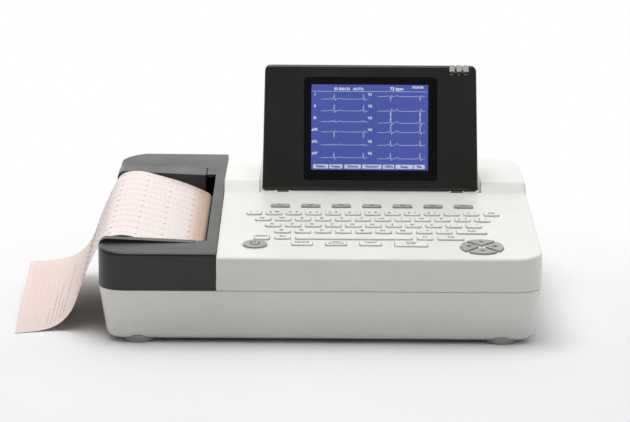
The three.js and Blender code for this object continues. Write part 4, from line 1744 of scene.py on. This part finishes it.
@dataclass
class Keyboard:
    """The keys on the deck, with their printed legends.

    Attributes:
        cap_edge: Radius of the rounding round a key's top, in mm.
        rise: Height of a key's top over the deck, in mm.
    """

    cap_edge: float = 0.55
    rise: float = 1.5

    ROWS = {
        "digit_keys": "1! 2@ 3# 4$ 5% 6^ 7& 8* 9( 0) -_ =+ Del",
        "upper_letter_keys": "Q W E R T Y U I O P [{ ]}",
        "home_letter_keys": "A S D F G H J K L ;: '~",
        "lower_letter_keys": "Z X C V B N M ,< .> Shift",
        "space_row_keys": "RESET Esc . Fn Tab",
    }
    WORDS = {
        "mode_key": "MODE",
        "rhythm_key": "1mV/|RHYTHM",
        "copy_key": "COPY",
        "start_stop_key": "START|STOP",
    }

    def caps(self, piece: bpy.types.Object) -> list[tuple[float, float, float, float]]:
        """Finds the flat tops of a moulding's keys.

        Args:
            piece: The moulding.

        Returns:
            Each top's least and greatest x and least and greatest y on the deck, in mm, from left
            to right.
        """
        found = []
        up = (DECK.to_3x3() @ Vector((0, 0, 1))).normalized()
        for face in piece.data.polygons:
            if face.normal.dot(up) > 0.99 and local(DECK, face.center).z > self.rise - 0.1:
                corners = [local(DECK, piece.data.vertices[i].co) for i in face.vertices]
                xs = [corner.x for corner in corners]
                ys = [corner.y for corner in corners]
                found.append((min(xs), max(xs), min(ys), max(ys)))
        return sorted(found)

    def legends(self, cap: tuple[float, float, float, float], text: str) -> list[Legend]:
        """Lays out one key's print.

        Args:
            cap: The key's top.
            text: One or two signs, a word, or two words parted by a bar.

        Returns:
            The key's legends.
        """
        x0, x1, y0, y1 = cap
        x, y = (x0 + x1) / 2, (y0 + y1) / 2
        if "|" in text:
            upper, lower = text.split("|")
            size = min(2.6, (x1 - x0) / max(len(upper), len(lower)) * 1.1)
            return [
                Legend(upper, x, y + size * 0.75, size),
                Legend(lower, x, y - size * 0.85, size),
            ]
        if len(text) == 2 and not text[0].isalpha():
            return [Legend(text[0], x - 3.2, y - 0.6, 3.6), Legend(text[1], x + 3.2, y + 0.9, 3.1)]
        if len(text) == 1:
            return [Legend(text, x - 1.2, y, 4.0)]
        return [Legend(text, x, y + 0.3, 3.3)]

    def build_key(self, node: str, tone: KeyTone, words: Sequence[str]) -> None:
        """Builds one moulding of keys with its print.

        Args:
            node: The CAD node.
            tone: Its colour.
            words: The print on its keys from left to right, with a full stop for a bare key.
        """
        piece = merged_copy(node, f"{node}_silicone")
        tops = self.caps(piece)
        soften(piece, self.cap_edge, 30, 3)
        show(piece, BODY_OF[node], [tone.finish], [node])
        printed = [
            legend
            for top, text in zip(tops, words)
            if text != "."
            for legend in self.legends(top, text)
        ]
        if printed:
            print_piece = lettering(printed, DECK, self.rise + 0.01, f"{node}_print")
            show(print_piece, BODY_OF[node], [KEY_INK])

    def build_letters(self) -> None:
        """Builds the five rows of small keys."""
        for node, words in self.ROWS.items():
            self.build_key(node, KeyTone.WHITE, words.split())

    def build_controls(self) -> None:
        """Builds the function keys and the wide keys at the front."""
        for number in range(1, 8):
            self.build_key(f"function_key_{number}", KeyTone.GREY, [f"F{number}"])
        for node, words in self.WORDS.items():
            self.build_key(node, KeyTone.WHITE, [words])

    def build_round_keys(self) -> None:
        """Builds the power key and the four arrow keys with their signs."""
        self.build_key("power_key", KeyTone.GREY, [])
        low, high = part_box("power_key")
        centre = local(DECK, (low + high) / 2)
        bead = [self.polar(centre, 13.2, 12 * i) for i in range(31)]
        for place in bead:
            place.z = 0.1
        show(strokes([bead], 0.9, DECK, "power_key_bead"), "casing", [WHITE_ABS])
        ring = [self.polar(centre, 4.6, 125 + 290 * i / 20) for i in range(21)]
        bar = [Vector((centre.x, centre.y + above, self.rise)) for above in (2.2, 6)]
        self.print_lines("power_key", [ring, bar], 1.0)
        for node, turn in (("up", 90), ("left", 180), ("down", 270), ("right", 0)):
            name = f"arrow_{node}_key"
            self.build_key(name, KeyTone.GREY, [])
            low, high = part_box(name)
            centre = local(DECK, (low + high) / 2)
            tip = self.polar(centre, 2.9, turn)
            wings = [self.polar(centre, 2.4, turn + side) for side in (100, -100)]
            tail = self.polar(centre, 2.9, turn + 180)
            self.print_lines(name, [[wings[0], tip, wings[1]], [tip, tail]], 0.7)

    def polar(self, centre: Vector, radius: float, angle: float) -> Vector:
        """Returns a point on the key tops, at a distance in mm and a turn in degrees."""
        turn = math.radians(angle)
        return Vector(
            (centre.x + radius * math.cos(turn), centre.y + radius * math.sin(turn), self.rise)
        )

    def print_lines(self, node: str, lines: Sequence[Sequence[Vector]], width: float) -> None:
        """Prints lines on a key.

        Args:
            node: The key's CAD node.
            lines: The lines' points on the deck, in mm.
            width: Width of the lines, in mm.
        """
        piece = strokes(lines, width, DECK, f"{node}_sign")
        show(piece, BODY_OF[node], [KEY_INK])

    def build(self) -> None:
        """Builds every key."""
        self.build_letters()
        self.build_controls()
        self.build_round_keys()


@dataclass
class Studio:
    """The pale floor, the soft light and the camera.

    Attributes:
        camera_at: The camera's place in the row frame, in mm.
        looking: Its line of sight.
        roll: Its turn about the line of sight, in degrees.
        lens: Its focal length on a 36 mm wide sensor, in mm.
        shift: Sideways shift of its picture.
        bright_wall: Heading of the brightest wall.
        wall_light: Light of the darkest and the brightest wall.
    """

    camera_at: tuple[float, float, float] = (39.2, -2246.4, 620.3)
    looking: tuple[float, float, float] = (-0.0019, 0.9734, -0.2290)
    roll: float = 0.336
    lens: float = 131.26
    shift: float = 0.0095
    bright_wall: tuple[float, float, float] = (0.1, 0.95, 0.1)
    wall_light: tuple[float, float] = (0.14, 1.25)

    def build_camera(self) -> None:
        """Places the camera."""
        ahead = Vector(self.looking).normalized()
        right = ahead.cross(Vector((0, 0, 1))).normalized()
        up = right.cross(ahead)
        turn = math.radians(self.roll)
        across = math.cos(turn) * right + math.sin(turn) * up
        upright = -math.sin(turn) * right + math.cos(turn) * up
        lens = bpy.data.cameras.new("studio_camera")
        lens.lens = self.lens
        lens.sensor_width = 36
        lens.shift_x = self.shift
        lens.clip_start = 0.05
        camera = bpy.data.objects.new("studio_camera", lens)
        bpy.context.scene.collection.objects.link(camera)
        place = Matrix((across, upright, -ahead)).transposed().to_4x4()
        place.translation = Vector(self.camera_at) * MM
        camera.matrix_world = place
        bpy.context.scene.camera = camera

    def build_floor(self) -> None:
        """Lays the floor, a matt white sweep with a faint drift of tone."""
        bpy.ops.object.select_all(action="DESELECT")
        bpy.ops.mesh.primitive_plane_add(size=30)
        floor = bpy.context.active_object
        floor.name = floor.data.name = "studio_floor"
        floor.data.materials.append(WHITE_SWEEP.material())

    def add_lamp(
        self,
        name: str,
        place: tuple[float, float, float],
        size: tuple[float, float],
        power: float,
    ) -> None:
        """Hangs a soft box that faces the object.

        Args:
            name: Name of the lamp.
            place: Its place, in metres.
            size: Its width and length, in metres.
            power: Its power, in watts.
        """
        light = bpy.data.lights.new(name, "AREA")
        light.shape = "RECTANGLE"
        light.size, light.size_y = size
        light.energy = power
        lamp = bpy.data.objects.new(name, light)
        bpy.context.scene.collection.objects.link(lamp)
        lamp.location = place
        towards = Vector((0, 0, 0.08)) - Vector(place)
        lamp.rotation_euler = towards.to_track_quat("-Z", "Y").to_euler()

    def build_light(self) -> None:
        """Hangs the soft boxes and sets the walls, white to the eye and brightest at the back."""
        self.add_lamp("overhead_softbox", (-0.1, -0.08, 1.55), (1.2, 0.9), 18)
        world = bpy.data.worlds.new("studio")
        bpy.context.scene.world = world
        world.use_nodes = True
        tree = world.node_tree
        tree.nodes.clear()
        seen = add_node(tree, "ShaderNodeLightPath").outputs["Is Camera Ray"]
        heading = add_node(tree, "ShaderNodeTexCoord").outputs["Generated"]
        backward = add_node(
            tree,
            "ShaderNodeVectorMath",
            {0: heading, 1: self.bright_wall},
            operation="DOT_PRODUCT",
        ).outputs["Value"]
        wall = add_node(
            tree,
            "ShaderNodeMapRange",
            {0: backward, 1: 0.0, 2: 0.85, 3: self.wall_light[0], 4: self.wall_light[1]},
        ).outputs[0]
        dim = add_node(
            tree, "ShaderNodeBackground", {"Color": linear("#ffffff"), "Strength": wall}
        )
        white = add_node(
            tree, "ShaderNodeBackground", {"Color": linear("#ffffff"), "Strength": 1.0}
        )
        both = add_node(
            tree, "ShaderNodeMixShader", {0: seen, 1: dim.outputs[0], 2: white.outputs[0]}
        )
        add_node(tree, "ShaderNodeOutputWorld", {"Surface": both.outputs[0]})
        bpy.context.scene.view_settings.view_transform = "Standard"

    def build(self) -> None:
        """Sets up the whole studio."""
        self.build_camera()
        self.build_floor()
        self.build_light()


def main() -> None:
    """Builds the machine and its studio."""
    logging.basicConfig(level=logging.INFO, format="%(message)s")
    for part in (Casing(), Recorder(), Display(), Fittings(), Keyboard(), Studio()):
        log.info("building the %s", type(part).__name__.lower())
        part.build()


if __name__ == "__main__":
    main()
